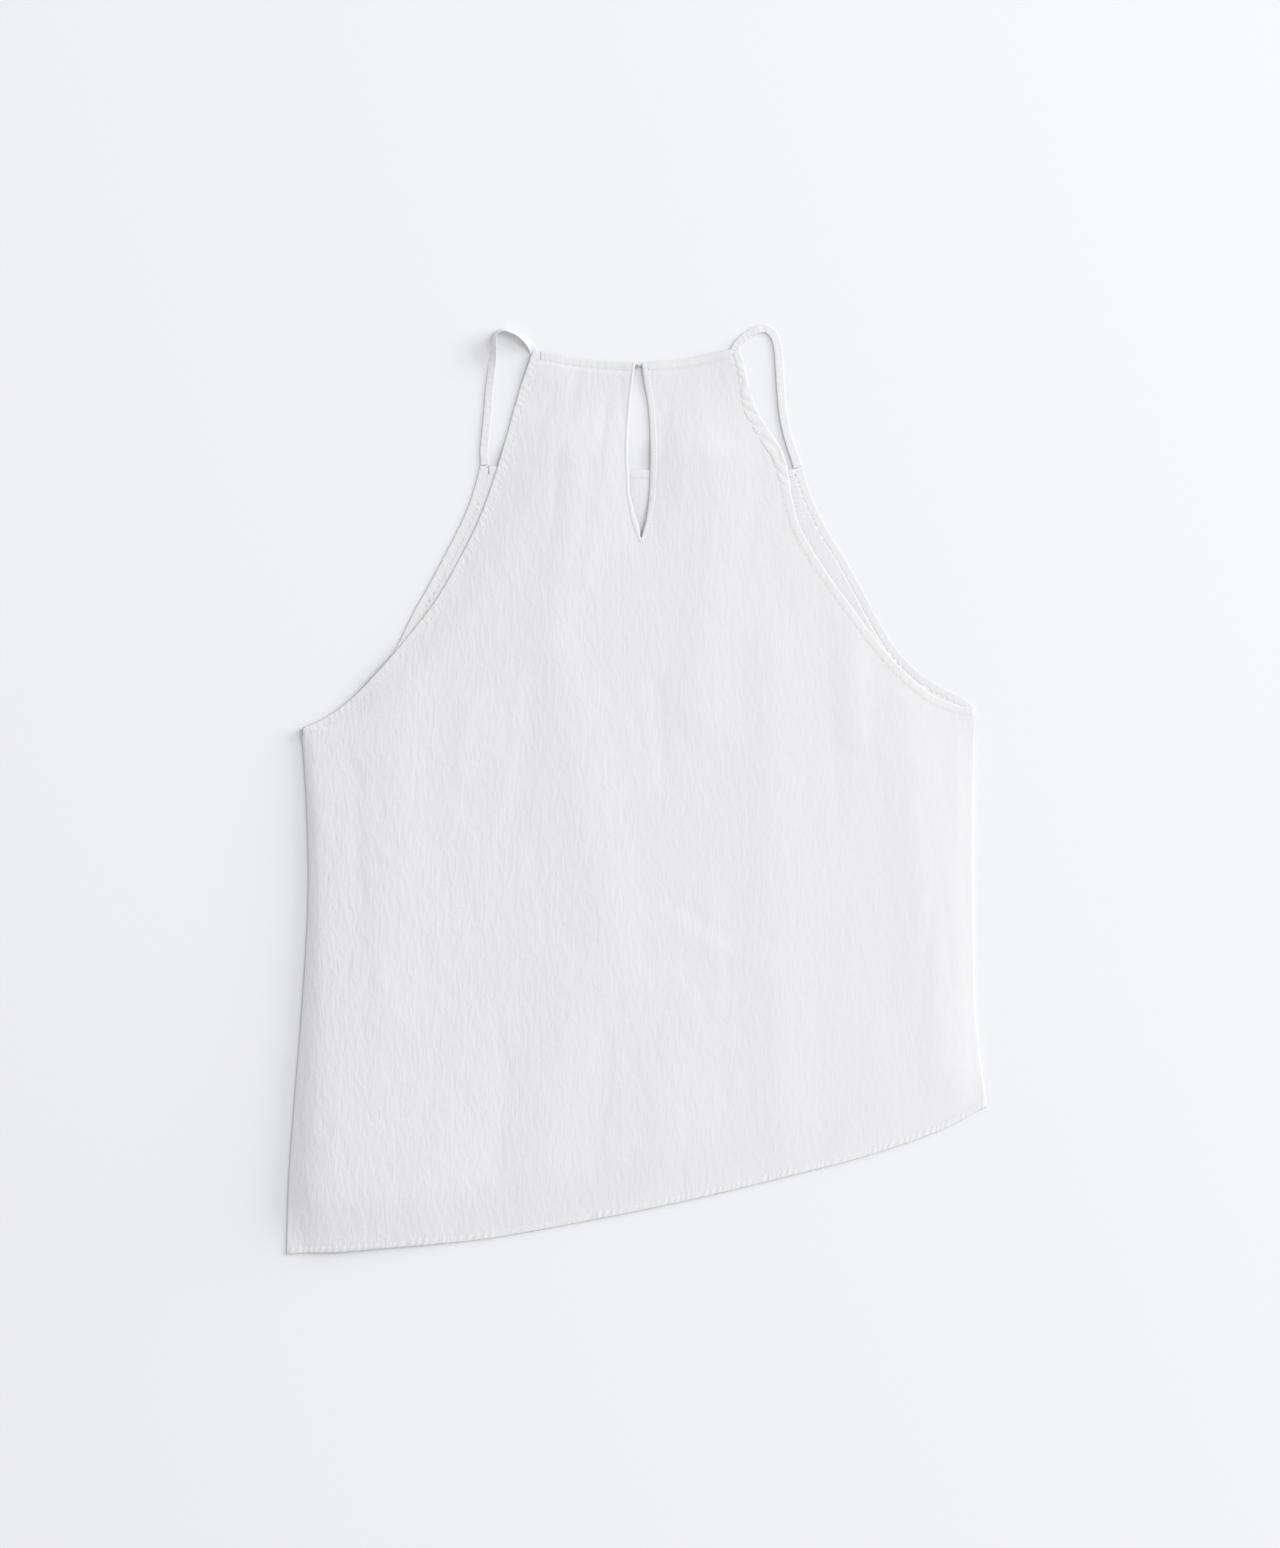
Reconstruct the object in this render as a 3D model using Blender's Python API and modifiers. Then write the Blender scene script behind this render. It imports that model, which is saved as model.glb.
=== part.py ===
"""Sleeveless linen top with thin straps and a slanting hem, laid flat with its back up.

Sizes are in millimetres and become metres in place(). Across is to the right of the keyhole's
centre, up is away from the low hem corner, and height is above the surface the top lies on.
"""
import math
from bisect import bisect_left
from collections import namedtuple

import bmesh
import bpy
from mathutils import Vector

MM = 0.001

# The pattern: one row per section, from the low end to the high end
Point = namedtuple("Point", "across up")
LEFT_SIDE = [
    Point(-246.6, -1.4), Point(-245.0, 50.0), Point(-241.0, 105.0), Point(-235.0, 180.0),
    Point(-231.2, 250.0), Point(-232.4, 315.0), Point(-236.0, 368.1)]
RIGHT_SIDE = [
    Point(243.2, 101.5), Point(238.0, 143.0), Point(235.0, 180.0), Point(233.9, 248.0),
    Point(233.9, 315.0), Point(235.0, 383.0)]
LEFT_ARMHOLE = [
    Point(-236.0, 368.1), Point(-220.6, 375.1), Point(-203.0, 387.8), Point(-184.0, 407.0),
    Point(-164.4, 429.9), Point(-142.6, 458.0), Point(-126.5, 486.1), Point(-114.0, 511.0),
    Point(-104.0, 537.0), Point(-94.5, 568.0), Point(-85.0, 602.0), Point(-74.5, 633.0)]
RIGHT_ARMHOLE = [
    Point(235.0, 383.0), Point(225.5, 383.4), Point(214.3, 387.6), Point(203.0, 393.6),
    Point(186.0, 408.0), Point(169.3, 426.6), Point(150.0, 452.0), Point(130.0, 480.0),
    Point(114.5, 506.0), Point(108.0, 527.0), Point(105.0, 545.0), Point(101.5, 560.0),
    Point(95.5, 571.5), Point(88.5, 582.0), Point(82.5, 592.5), Point(78.0, 606.0),
    Point(74.5, 620.0), Point(70.5, 634.5)]
FRONT_LEFT_ARMHOLE = [
    Point(-236.0, 368.1), Point(-218.0, 373.5), Point(-200.0, 384.0), Point(-183.5, 401.0),
    Point(-169.8, 426.0), Point(-158.0, 450.0), Point(-148.9, 466.0), Point(-134.0, 494.0),
    Point(-122.2, 518.0), Point(-115.5, 537.0), Point(-111.7, 552.3)]
FRONT_RIGHT_ARMHOLE = [
    Point(235.0, 384.0), Point(225.5, 390.5), Point(214.3, 396.2), Point(203.0, 402.5),
    Point(192.0, 411.5), Point(181.2, 423.5), Point(169.3, 442.0), Point(157.4, 464.5),
    Point(145.0, 487.0), Point(132.1, 508.0), Point(121.5, 530.0), Point(115.2, 550.0)]

# How far the hem and the neck edge hang below the straight line between their ends
Sag = namedtuple("Sag", "share depth")
HEM_SAG = [
    Sag(0.0, 0.0), Sag(0.07, 5.9), Sag(0.14, 10.3), Sag(0.22, 15.3), Sag(0.30, 19.0),
    Sag(0.45, 21.0), Sag(0.59, 21.1), Sag(0.73, 18.9), Sag(0.82, 16.9), Sag(0.90, 12.6),
    Sag(0.95, 7.8), Sag(1.0, 0.0)]
NECK_SAG = [Sag(0.0, 0.0), Sag(0.25, 6.0), Sag(0.5, 9.0), Sag(0.75, 6.5), Sag(1.0, 0.0)]
FRONT_NECK_SAG = [Sag(0.0, 0.0), Sag(0.5, 1.5), Sag(1.0, 0.0)]

# The keyhole slit: its two lips and the width of the binding on each, by how far up they are
Slit = namedtuple("Slit", "up left right left_binding right_binding")
KEYHOLE = [
    Slit(509.0, 0.3, 3.8, 4.6, 3.0), Slit(516.0, -2.1, 5.3, 4.2, 3.7),
    Slit(524.0, -4.4, 6.4, 3.0, 4.3), Slit(533.0, -6.4, 7.2, 2.5, 4.7),
    Slit(545.0, -6.9, 7.6, 2.5, 4.8), Slit(556.0, -7.6, 8.0, 2.5, 4.8),
    Slit(575.0, -7.4, 7.7, 2.4, 4.8), Slit(595.0, -6.0, 6.3, 2.3, 4.6),
    Slit(612.0, -4.2, 3.3, 2.2, 4.4), Slit(626.0, -2.2, 1.7, 2.2, 4.2)]
KEYHOLE_TIP_ACROSS = 1.4
KEYHOLE_TIP_UP = 501.6
KEYHOLE_TIP_BINDING = 4.0
KEYHOLE_TIP_GAP = 1.0

# Cloth and bindings
WALL = 1.2
EDGE_WALL = 1.7
SEAM_GAP = 0.4
HEM_WIDTH = 7.0
NECK_BINDING_WIDTH = 6.5
ARMHOLE_BINDING_WIDTH = 6.5
FRONT_BINDING_WIDTH = 6.5
Width = namedtuple("Width", "share width")
RIGHT_BINDING_WIDTHS = [
    Width(0.0, 6.5), Width(0.58, 6.5), Width(0.68, 7.5), Width(0.78, 10.0), Width(0.86, 9.0),
    Width(0.93, 6.5), Width(1.0, 5.6)]
ROLLED_FROM = 0.66
ROLL_WAVES = 11
ROLL_PARTS = 5
ROLL_WAVE_HEIGHT = 0.9
ROLL_SLANT = -0.9
ROLL_FADE = 0.05
NECK_SLANT_LEFT = 0.55
NECK_SLANT_RIGHT = 1.7

# Heights of the back: what it lies on, the air under it and its largest folds
ON_FRONT = EDGE_WALL + SEAM_GAP
ON_SURFACE = 0.3
AIR = 0.5
AIR_EDGE_REACH = 42.0
SIDE_ROUND = 20.0
SIDE_ROUND_HEIGHT = 0.6
TIP_REACH = 40.0
TIP_CALM = 0.9
NECK_DROP_FROM = 557.0
NECK_DROP_LENGTH = 36.0
NECK_AIR = 0.2
NECK_FOLDS = 0.55
FOLD_END = 1.6
Rest = namedtuple("Rest", "across up reach height")
RESTS = [Rest(-74.5, 628.0, 20.0, 2.3), Rest(68.0, 629.0, 20.0, 2.3), Rest(0.0, 624.0, 17.0, 1.9)]
Fold = namedtuple("Fold", "low_across low_up high_across high_up reach height")
FOLDS = [
    Fold(-178.0, 170.0, -172.0, 395.0, 22.0, 1.0),
    Fold(-150.0, 25.0, -110.0, 150.0, 26.0, 0.6),
    Fold(-74.0, 30.0, -50.0, 190.0, 22.0, 0.8),
    Fold(-14.0, 190.0, -50.0, 390.0, 22.0, 1.0),
    Fold(-62.0, 425.0, -40.0, 600.0, 17.0, 1.1),
    Fold(8.0, 20.0, 30.0, 175.0, 20.0, 0.5),
    Fold(42.0, 380.0, 56.0, 545.0, 19.0, 1.0),
    Fold(30.0, 225.0, 84.0, 205.0, 12.0, 0.5),
    Fold(100.0, 60.0, 92.0, 425.0, 19.0, 0.9),
    Fold(152.0, 365.0, 146.0, 440.0, 12.0, 0.8),
    Fold(212.0, 130.0, 186.0, 385.0, 19.0, 0.9),
    Fold(176.0, 80.0, 168.0, 150.0, 18.0, 0.6),
    Fold(1.0, 505.0, 0.0, 556.0, 13.0, -0.8),
    Fold(13.0, 520.0, 12.0, 612.0, 7.0, 0.4),
    Fold(48.0, 560.0, 38.0, 624.0, 12.0, 0.6),
    Fold(-24.0, 530.0, -22.0, 618.0, 9.0, 0.5)]
# The roll along the left side: it rises within its reach and settles over its run
Roll = namedtuple("Roll", "up height reach")
LEFT_ROLL = [
    Roll(-2.0, 3.0, 30.0), Roll(35.0, 5.0, 34.0), Roll(80.0, 4.6, 32.0), Roll(177.0, 2.4, 20.0),
    Roll(317.0, 1.0, 12.0), Roll(400.0, 0.0, 8.0)]
LEFT_ROLL_RUN = 130.0


# Grids: the rows and columns of each panel
BACK_COLUMNS = 15
BACK_SIDE_ROWS = 19
BACK_ARMHOLE_ROWS = 12
BACK_SLIT_ROWS = 13
FRONT_COLUMNS = 8
FRONT_SIDE_ROWS = 9
FRONT_ARMHOLE_ROWS = 14
HEM_STEPS = (0.0, HEM_WIDTH, HEM_WIDTH + 1.5)
EDGE_STEPS = (0.0, 2.5, HEM_WIDTH, HEM_WIDTH + 1.5, 13.0, 20.0)
FRONT_EDGE_STEPS = (0.0, HEM_WIDTH, HEM_WIDTH + 1.5)
CROWN = (0.0, 0.25, 0.75, 1.0)
NECK_STRIP_PARTS = 14
EDGE_SAMPLES = 240
SEARCH_STEPS = 40
SLOPE_REACH = 0.012
CORNER_SHARE = 0.07
TOP_SLOPE_FROM = 0.96
HEM_FADE = 1.3
NECK_FADE = 2
SMOOTH_ANGLE = 50

# Straps: one row per point of the path. Lift is the clear height under the ribbon, lean turns it
# from flat to on edge, and size scales its width
STRAP_WIDTH = 5.5
STRAP_WALL = 1.2
Strap = namedtuple("Strap", "across up lift lean size")
LEFT_STRAP = [
    Strap(-108.3, 552.9, 0.25, 0.0, 1.1), Strap(-108.6, 556.5, 0.2, 0.0, 1.0),
    Strap(-108.9, 563.0, 0.15, 0.0, 1.0), Strap(-107.9, 573.0, 0.1, 0.0, 1.0),
    Strap(-106.4, 589.0, 0.1, 0.0, 1.0), Strap(-105.0, 606.0, 0.1, 3.0, 1.0),
    Strap(-103.2, 622.0, 0.1, 15.0, 1.0), Strap(-102.0, 634.0, 0.1, 42.0, 1.0),
    Strap(-101.4, 641.8, 0.1, 68.0, 1.0), Strap(-99.6, 645.7, 0.1, 76.0, 1.0),
    Strap(-95.0, 647.7, 0.1, 76.0, 1.0), Strap(-89.7, 646.5, 0.1, 74.0, 1.0),
    Strap(-84.5, 644.2, 0.1, 66.0, 1.0), Strap(-79.2, 640.3, 0.1, 40.0, 1.0),
    Strap(-75.2, 635.4, 0.15, 12.0, 1.0), Strap(-73.4, 630.1, 0.2, 0.0, 0.95),
    Strap(-72.6, 625.0, 0.2, 0.0, 0.9)]
RIGHT_STRAP = [
    Strap(111.6, 550.9, 0.25, 0.0, 1.15), Strap(110.4, 555.0, 0.2, 0.0, 1.1),
    Strap(107.8, 562.5, 0.15, -3.0, 1.05), Strap(104.3, 573.5, 0.1, -6.0, 1.0),
    Strap(101.4, 587.0, 0.1, -7.0, 1.0), Strap(99.7, 604.0, 0.1, -7.0, 1.0),
    Strap(98.7, 620.0, 0.1, -7.0, 1.0), Strap(97.6, 633.5, 0.1, -7.0, 1.0),
    Strap(95.4, 642.4, 0.1, -6.0, 1.0), Strap(91.4, 647.4, 0.1, -6.0, 1.0),
    Strap(86.4, 648.7, 0.1, -8.0, 1.0), Strap(81.2, 647.0, 0.1, -10.0, 1.0),
    Strap(76.4, 644.0, 0.1, -8.0, 1.0), Strap(71.8, 640.4, 0.15, -4.0, 1.0),
    Strap(68.4, 636.0, 0.2, 0.0, 1.0), Strap(66.4, 630.6, 0.2, 0.0, 0.95),
    Strap(65.8, 625.5, 0.2, 0.0, 0.9)]
STRAP_STEPS = 2
STRAP_ROUND = 0.36

# Hook and eye of round wire
WIRE = 0.5
FASTENING_UP = 622.0
WIRE_LOW = 0.45
EYE_BAR_HEIGHT = 1.7
HOOK_BILL_HEIGHT = 2.9
HOOK_LEG = 0.42
HOOK_BEND = -1.9
HOOK_BILL_TIP = 0.1
HOOK_RING = 4.8
EYE_LEG = 1.25
EYE_BAR = -0.6
EYE_RING = -5.4
RING_RADIUS = 0.6
RING_TURN = 270
RING_PARTS = 9
EYE_LEG_START = -3.6
EYE_BAR_BEND = (0.7, 0.1)
EYE_BAR_END = (0.15, 0.8)
BILL_ROUND = 0.9
BILL_TURNS = (30, 60, 90, 120, 150)

LOW_CORNER = LEFT_SIDE[0]
HIGH_CORNER = RIGHT_SIDE[0]
STRAP_TOP = 651.15
CENTRE_ACROSS = (LOW_CORNER.across + HIGH_CORNER.across) / 2
CENTRE_UP = (LOW_CORNER.up + STRAP_TOP) / 2

MODEL = bpy.data.collections.new("sleeveless_top")
GUIDES = bpy.data.collections.new("guides")


def place(across, up, height):
    """A pattern point in metres, measured from the middle of the whole top."""
    return Vector((across - CENTRE_ACROSS, up - CENTRE_UP, height)) * MM


def ease(share):
    """0 below 0, 1 above 1, and a soft step between."""
    share = min(1.0, max(0.0, share))
    return share * share * (3 - 2 * share)


def smooth_row(rows, spot):
    """Rows read as one smooth curve; spot counts rows from 0."""
    last = len(rows) - 1
    index = min(int(spot), last - 1)
    step = spot - index
    before, start, end, after = (rows[min(last, max(0, index + k))] for k in (-1, 0, 1, 2))
    values = []
    for p0, p1, p2, p3 in zip(before, start, end, after):
        slope = (p2 - p0) / 2
        next_slope = (p3 - p1) / 2
        rise = p2 - p1
        bend = 3 * rise - 2 * slope - next_slope
        turn = slope + next_slope - 2 * rise
        values.append(p1 + step * (slope + step * (bend + step * turn)))
    return values


def row_below(rows, spot):
    """The index of the last table row whose first column is not above a spot."""
    return max(k for k, row in enumerate(rows[:-1]) if k == 0 or row[0] <= spot)


def read_table(rows, spot):
    """The values of a table at a place in its first column, straight between rows."""
    index = row_below(rows, spot)
    low, high = rows[index], rows[index + 1]
    share = min(1.0, max(0.0, (spot - low[0]) / (high[0] - low[0])))
    return [a + (b - a) * share for a, b in zip(low, high)]


def sag_at(rows, share):
    """Depth of a hanging edge at a share of its width, smooth between the rows."""
    index = row_below(rows, share)
    low, high = rows[index], rows[index + 1]
    step = min(1.0, max(0.0, (share - low.share) / (high.share - low.share)))
    return smooth_row(rows, index + step)[1]


class Edge:
    """A cut edge of a panel, read by a share of its length."""

    def __init__(self, rows):
        self.points = [
            smooth_row(rows, (len(rows) - 1) * k / EDGE_SAMPLES) for k in range(EDGE_SAMPLES + 1)]
        self.lengths = [0.0]
        for (x0, y0), (x1, y1) in zip(self.points, self.points[1:]):
            self.lengths.append(self.lengths[-1] + math.hypot(x1 - x0, y1 - y0))

    def at(self, share):
        """The point on the edge."""
        goal = min(1.0, max(0.0, share)) * self.lengths[-1]
        k = min(bisect_left(self.lengths, goal, 1), EDGE_SAMPLES)
        part = (goal - self.lengths[k - 1]) / (self.lengths[k] - self.lengths[k - 1])
        (x0, y0), (x1, y1) = self.points[k - 1], self.points[k]
        return x0 + (x1 - x0) * part, y0 + (y1 - y0) * part


class Armhole(Edge):
    """An armhole's edge, up from its side seam; side is -1 on the left and 1 on the right."""

    def __init__(self, rows, seam_rows, side):
        super().__init__(rows)
        self.side = side
        self.slide = corner_slide(seam_rows, rows, side)

    def inset(self, share, width):
        """The point a width in from the edge; at the corner it slides along the side seam."""
        x0, y0 = self.at(share - SLOPE_REACH)
        x1, y1 = self.at(share + SLOPE_REACH)
        length = math.hypot(x1 - x0, y1 - y0)
        straight = width * ease(share / CORNER_SHARE)
        slid = width - straight
        x, y = self.at(share)
        return (
            x - self.side * (y1 - y0) / length * straight + self.slide[0] * slid,
            y + self.side * (x1 - x0) / length * straight + self.slide[1] * slid)


def corner_slide(seam_rows, armhole_rows, side):
    """The step down a side seam that moves one millimetre in from the armhole's edge."""
    seam = Vector(seam_rows[-2]) - Vector(seam_rows[-1])
    seam.normalize()
    start = Vector(armhole_rows[1]) - Vector(armhole_rows[0])
    start.normalize()
    inward = Vector((-start.y, start.x)) * side
    return tuple(seam / max(0.5, seam.dot(inward)))


left_side = Edge(LEFT_SIDE)
right_side = Edge(RIGHT_SIDE)
left_armhole = Armhole(LEFT_ARMHOLE, LEFT_SIDE, -1)
right_armhole = Armhole(RIGHT_ARMHOLE, RIGHT_SIDE, 1)
front_left_armhole = Armhole(FRONT_LEFT_ARMHOLE, LEFT_SIDE, -1)
front_right_armhole = Armhole(FRONT_RIGHT_ARMHOLE, RIGHT_SIDE, 1)


def back_binding_width(share):
    """Width of the left back armhole's binding."""
    return ARMHOLE_BINDING_WIDTH


def rolled_binding_width(share):
    """Width of the right back armhole's binding, wider where it is rolled outwards."""
    return read_table(RIGHT_BINDING_WIDTHS, share)[1]


def front_binding_width(share):
    """Width of the front armholes' bindings."""
    return FRONT_BINDING_WIDTH


def neck_height(across):
    """How far up the back neck edge lies."""
    left, right = LEFT_ARMHOLE[-1], RIGHT_ARMHOLE[-1]
    share = (across - left.across) / (right.across - left.across)
    return left.up + (right.up - left.up) * share - sag_at(NECK_SAG, min(1.0, max(0.0, share)))


def front_neck_height(across):
    """How far up the front neck edge lies."""
    left, right = FRONT_LEFT_ARMHOLE[-1], FRONT_RIGHT_ARMHOLE[-1]
    share = (across - left.across) / (right.across - left.across)
    sag = sag_at(FRONT_NECK_SAG, min(1.0, max(0.0, share)))
    return left.up + (right.up - left.up) * share - sag


def lip(up, side, with_binding=0.0):
    """Where a lip of the slit is across, plus a share of its binding."""
    shoulder = KEYHOLE[0].up
    row = Slit(*read_table(KEYHOLE, up))
    edge, width = (row.left, row.left_binding) if side < 0 else (row.right, row.right_binding)
    outside = edge + side * with_binding * width
    if up >= shoulder:
        return outside
    foot = KEYHOLE_TIP_UP - with_binding * KEYHOLE_TIP_BINDING
    share = max(0.0, (up - foot) / (shoulder - foot))
    return KEYHOLE_TIP_ACROSS + (outside - KEYHOLE_TIP_ACROSS) * share


def fold_height(fold, across, up):
    """Height of one fold: a soft ridge along its line that fades at both ends."""
    run_across = fold.high_across - fold.low_across
    run_up = fold.high_up - fold.low_up
    length = math.hypot(run_across, run_up)
    from_across = across - fold.low_across
    from_up = up - fold.low_up
    along = (from_across * run_across + from_up * run_up) / length
    off = (from_across * run_up - from_up * run_across) / length
    fade = fold.reach * FOLD_END
    ends = ease(1 + along / fade) * ease(1 + (length - along) / fade)
    return fold.height * math.exp(-(off / fold.reach) ** 2) * ends


def side_gaps(across, up):
    """Distances in from the left side seam and from the right one."""
    shares = [
        min(1.0, max(0.0, (up - rows[0].up) / (rows[-1].up - rows[0].up)))
        for rows in (LEFT_SIDE, RIGHT_SIDE)]
    return (
        max(0.0, across - left_side.at(shares[0])[0]),
        max(0.0, right_side.at(shares[1])[0] - across))


def left_roll_height(gap, up):
    """Height of the soft roll along the left side, at a distance in from its seam."""
    roll = Roll(*read_table(LEFT_ROLL, up))
    inward = min(1.0, gap / roll.reach)
    return roll.height * (1 - (1 - inward) ** 2) * (1 - ease((gap - roll.reach) / LEFT_ROLL_RUN))


def back_height(across, up):
    """Height of the back's underside above the surface."""
    drop = ease((up - NECK_DROP_FROM) / NECK_DROP_LENGTH)
    base = ON_FRONT + (ON_SURFACE - ON_FRONT) * drop
    for rest in RESTS:
        far = math.hypot(across - rest.across, up - rest.up)
        base += rest.height * math.exp(-(far / rest.reach) ** 2)
    left_gap, right_gap = side_gaps(across, up)
    gap = min(left_gap, right_gap)
    inward = min(1.0, gap / SIDE_ROUND)
    rounding = math.sqrt(1 - (1 - inward) ** 2)
    air = AIR * ease(gap / AIR_EDGE_REACH) * (1 - (1 - NECK_AIR) * drop)
    folds = sum(fold_height(fold, across, up) for fold in FOLDS)
    for tip in (LEFT_SIDE[-1], RIGHT_SIDE[-1]):
        far = math.hypot(across - tip.across, up - tip.up)
        rounding *= 1 - TIP_CALM * math.exp(-(far / TIP_REACH) ** 2)
    folds *= 1 - (1 - NECK_FOLDS) * drop
    roll = left_roll_height(left_gap, up)
    return base + roll + rounding * (SIDE_ROUND_HEIGHT * (1 - drop) + air + folds)


def front_height(across, up):
    """The front lies flat."""
    return 0.0


def material(name, colour, roughness, metallic=0.0):
    """A Principled material."""
    made = bpy.data.materials.new(name)
    made.use_nodes = True
    shader = made.node_tree.nodes["Principled BSDF"]
    shader.inputs["Base Color"].default_value = (*colour, 1.0)
    shader.inputs["Roughness"].default_value = roughness
    shader.inputs["Metallic"].default_value = metallic
    return made


def cloth_grid(name, columns, rows, where, thick_share, finish):
    """A grid primitive laid out by where(column, row), thickened upwards into a cloth wall.

    thick_share(column, row) is 0 for the plain wall and 1 for the doubled cloth of an edge.
    """
    mesh = bpy.data.meshes.new(name)
    form = bmesh.new()
    bmesh.ops.create_grid(form, x_segments=columns, y_segments=rows, size=0.5)
    weights = {}
    form.verts.index_update()
    for vert in form.verts:
        column = round((vert.co.x + 0.5) * columns)
        row = round((vert.co.y + 0.5) * rows)
        weights[vert.index] = thick_share(column, row)
        vert.co = where(column, row)
    face_up(form)
    form.to_mesh(mesh)
    form.free()
    return thicken(name, mesh, weights, finish)


def face_up(form):
    """Turn a surface's faces over where its rails run the other way round."""
    form.normal_update()
    if sum(face.normal.z for face in form.faces) < 0:
        bmesh.ops.reverse_faces(form, faces=form.faces)


def thicken(name, mesh, weights, finish):
    """A cloth surface with Solidify, thicker where the cloth is turned over at an edge."""
    made = bpy.data.objects.new(name, mesh)
    MODEL.objects.link(made)
    group = made.vertex_groups.new(name="edge")
    for index, weight in weights.items():
        group.add([index], weight, "REPLACE")
    solid = made.modifiers.new("wall", "SOLIDIFY")
    solid.thickness = EDGE_WALL * MM
    solid.offset = 1.0
    solid.use_even_offset = False
    solid.vertex_group = group.name
    solid.thickness_vertex_group = WALL / EDGE_WALL
    mesh.materials.append(finish)
    mesh.shade_smooth()
    mesh.set_sharp_from_angle(angle=math.radians(SMOOTH_ANGLE))
    return made


def stepped(width, steps, count):
    """Distances from an edge: the named steps first, then even ones over what is left."""
    rest = [steps[-1] + (width - steps[-1]) * k / count for k in range(1, count + 1)]
    return list(steps) + rest


def share_for_height(edge, height_line, drop):
    """The share of an inset armhole at which it meets a line a drop below an edge line."""
    low, high = 0.8, 1.0
    for _ in range(SEARCH_STEPS):
        middle = (low + high) / 2
        x, y = edge(middle)
        if y < height_line(x) - drop:
            low = middle
        else:
            high = middle
    return low


class Panel:
    """A panel's cut shape: side seams, armholes inset by their bindings, hem and neck edge."""

    def __init__(self, left, right, left_width, right_width, neck_line, neck_sag):
        self.left_inset = lambda share: left.inset(share, left_width(share) + SEAM_GAP)
        self.right_inset = lambda share: right.inset(share, right_width(share) + SEAM_GAP)
        drop = NECK_BINDING_WIDTH + SEAM_GAP
        self.left_top = share_for_height(self.left_inset, neck_line, drop)
        self.right_top = share_for_height(self.right_inset, neck_line, drop)
        self.left_tip_up = self.left_inset(0.0)[1]
        self.right_tip_up = self.right_inset(0.0)[1]
        self.neck_sag = neck_sag

    def ends(self, side_share, arm_share):
        """Both ends of a row: up the side seams first, then up the armholes."""
        if arm_share <= 0:
            left = self.up_side(left_side, side_share, self.left_tip_up)
            right = self.up_side(right_side, side_share, self.right_tip_up)
            return left, right
        return self.left_inset(arm_share * self.left_top), self.right_inset(
            arm_share * self.right_top)

    def up_side(self, side, share, tip_up):
        """A point on a side seam, which ends below the armhole's binding."""
        low, high = side.points[0][1], side.points[-1][1]
        return side.at(share * (tip_up - low) / (high - low))

    def row(self, side_share, arm_share):
        """A function from across to up along one row of the panel."""
        (x0, y0), (x1, y1) = self.ends(side_share, arm_share)

        def up_at(across):
            share = (across - x0) / (x1 - x0)
            up = y0 + (y1 - y0) * share
            if arm_share <= 0:
                return up - sag_at(HEM_SAG, share) * (1 - side_share) ** HEM_FADE
            return up - sag_at(self.neck_sag, share) * arm_share ** NECK_FADE

        return x0, x1, up_at


back_pattern = Panel(
    left_armhole, right_armhole, back_binding_width, rolled_binding_width, neck_height,
    NECK_SAG)
front_pattern = Panel(
    front_left_armhole, front_right_armhole, front_binding_width, front_binding_width,
    front_neck_height, FRONT_NECK_SAG)


def even(count, low=0.0, high=1.0):
    """Even places from low to high."""
    return [low + (high - low) * k / count for k in range(count + 1)]


def grid_spot(vert, columns, rows):
    """Column and row of a vertex of a fresh grid primitive."""
    return round((vert.co.x + 0.5) * columns), round((vert.co.y + 0.5) * rows)


def slit_up(share):
    """How far up a row of the back's armholes crosses the slit."""
    return back_pattern.row(1.0, share)[2](KEYHOLE_TIP_ACROSS)


def arm_share_at_slit(up):
    """The share of the armholes whose row crosses the slit at a given place up."""
    low, high = 0.0, 1.0
    for _ in range(SEARCH_STEPS):
        middle = (low + high) / 2
        if slit_up(middle) < up:
            low = middle
        else:
            high = middle
    return (low + high) / 2


def row_shares(side_rows, arm_shares):
    """Row places: the hem's turned edge first, then up the sides, then up the armholes."""
    side = [step / left_side.lengths[-1] for step in HEM_STEPS]
    rest = [
        side[-1] + (1 - side[-1]) * k / side_rows for k in range(1, side_rows + 1)]
    return [(share, 0.0) for share in side + rest] + [(1.0, share) for share in arm_shares]


def slit_shares():
    """Rows beside the slit, from its shoulders up to the neck."""
    return even(BACK_SLIT_ROWS, arm_share_at_slit(KEYHOLE[0].up), 1.0)


def back_arm_shares():
    """Rows up the back's armholes, with one at the slit's foot."""
    foot = arm_share_at_slit(KEYHOLE_TIP_UP - KEYHOLE_TIP_BINDING - KEYHOLE_TIP_GAP)
    return even(BACK_ARMHOLE_ROWS, 0.0, foot)[1:] + slit_shares()


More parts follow.
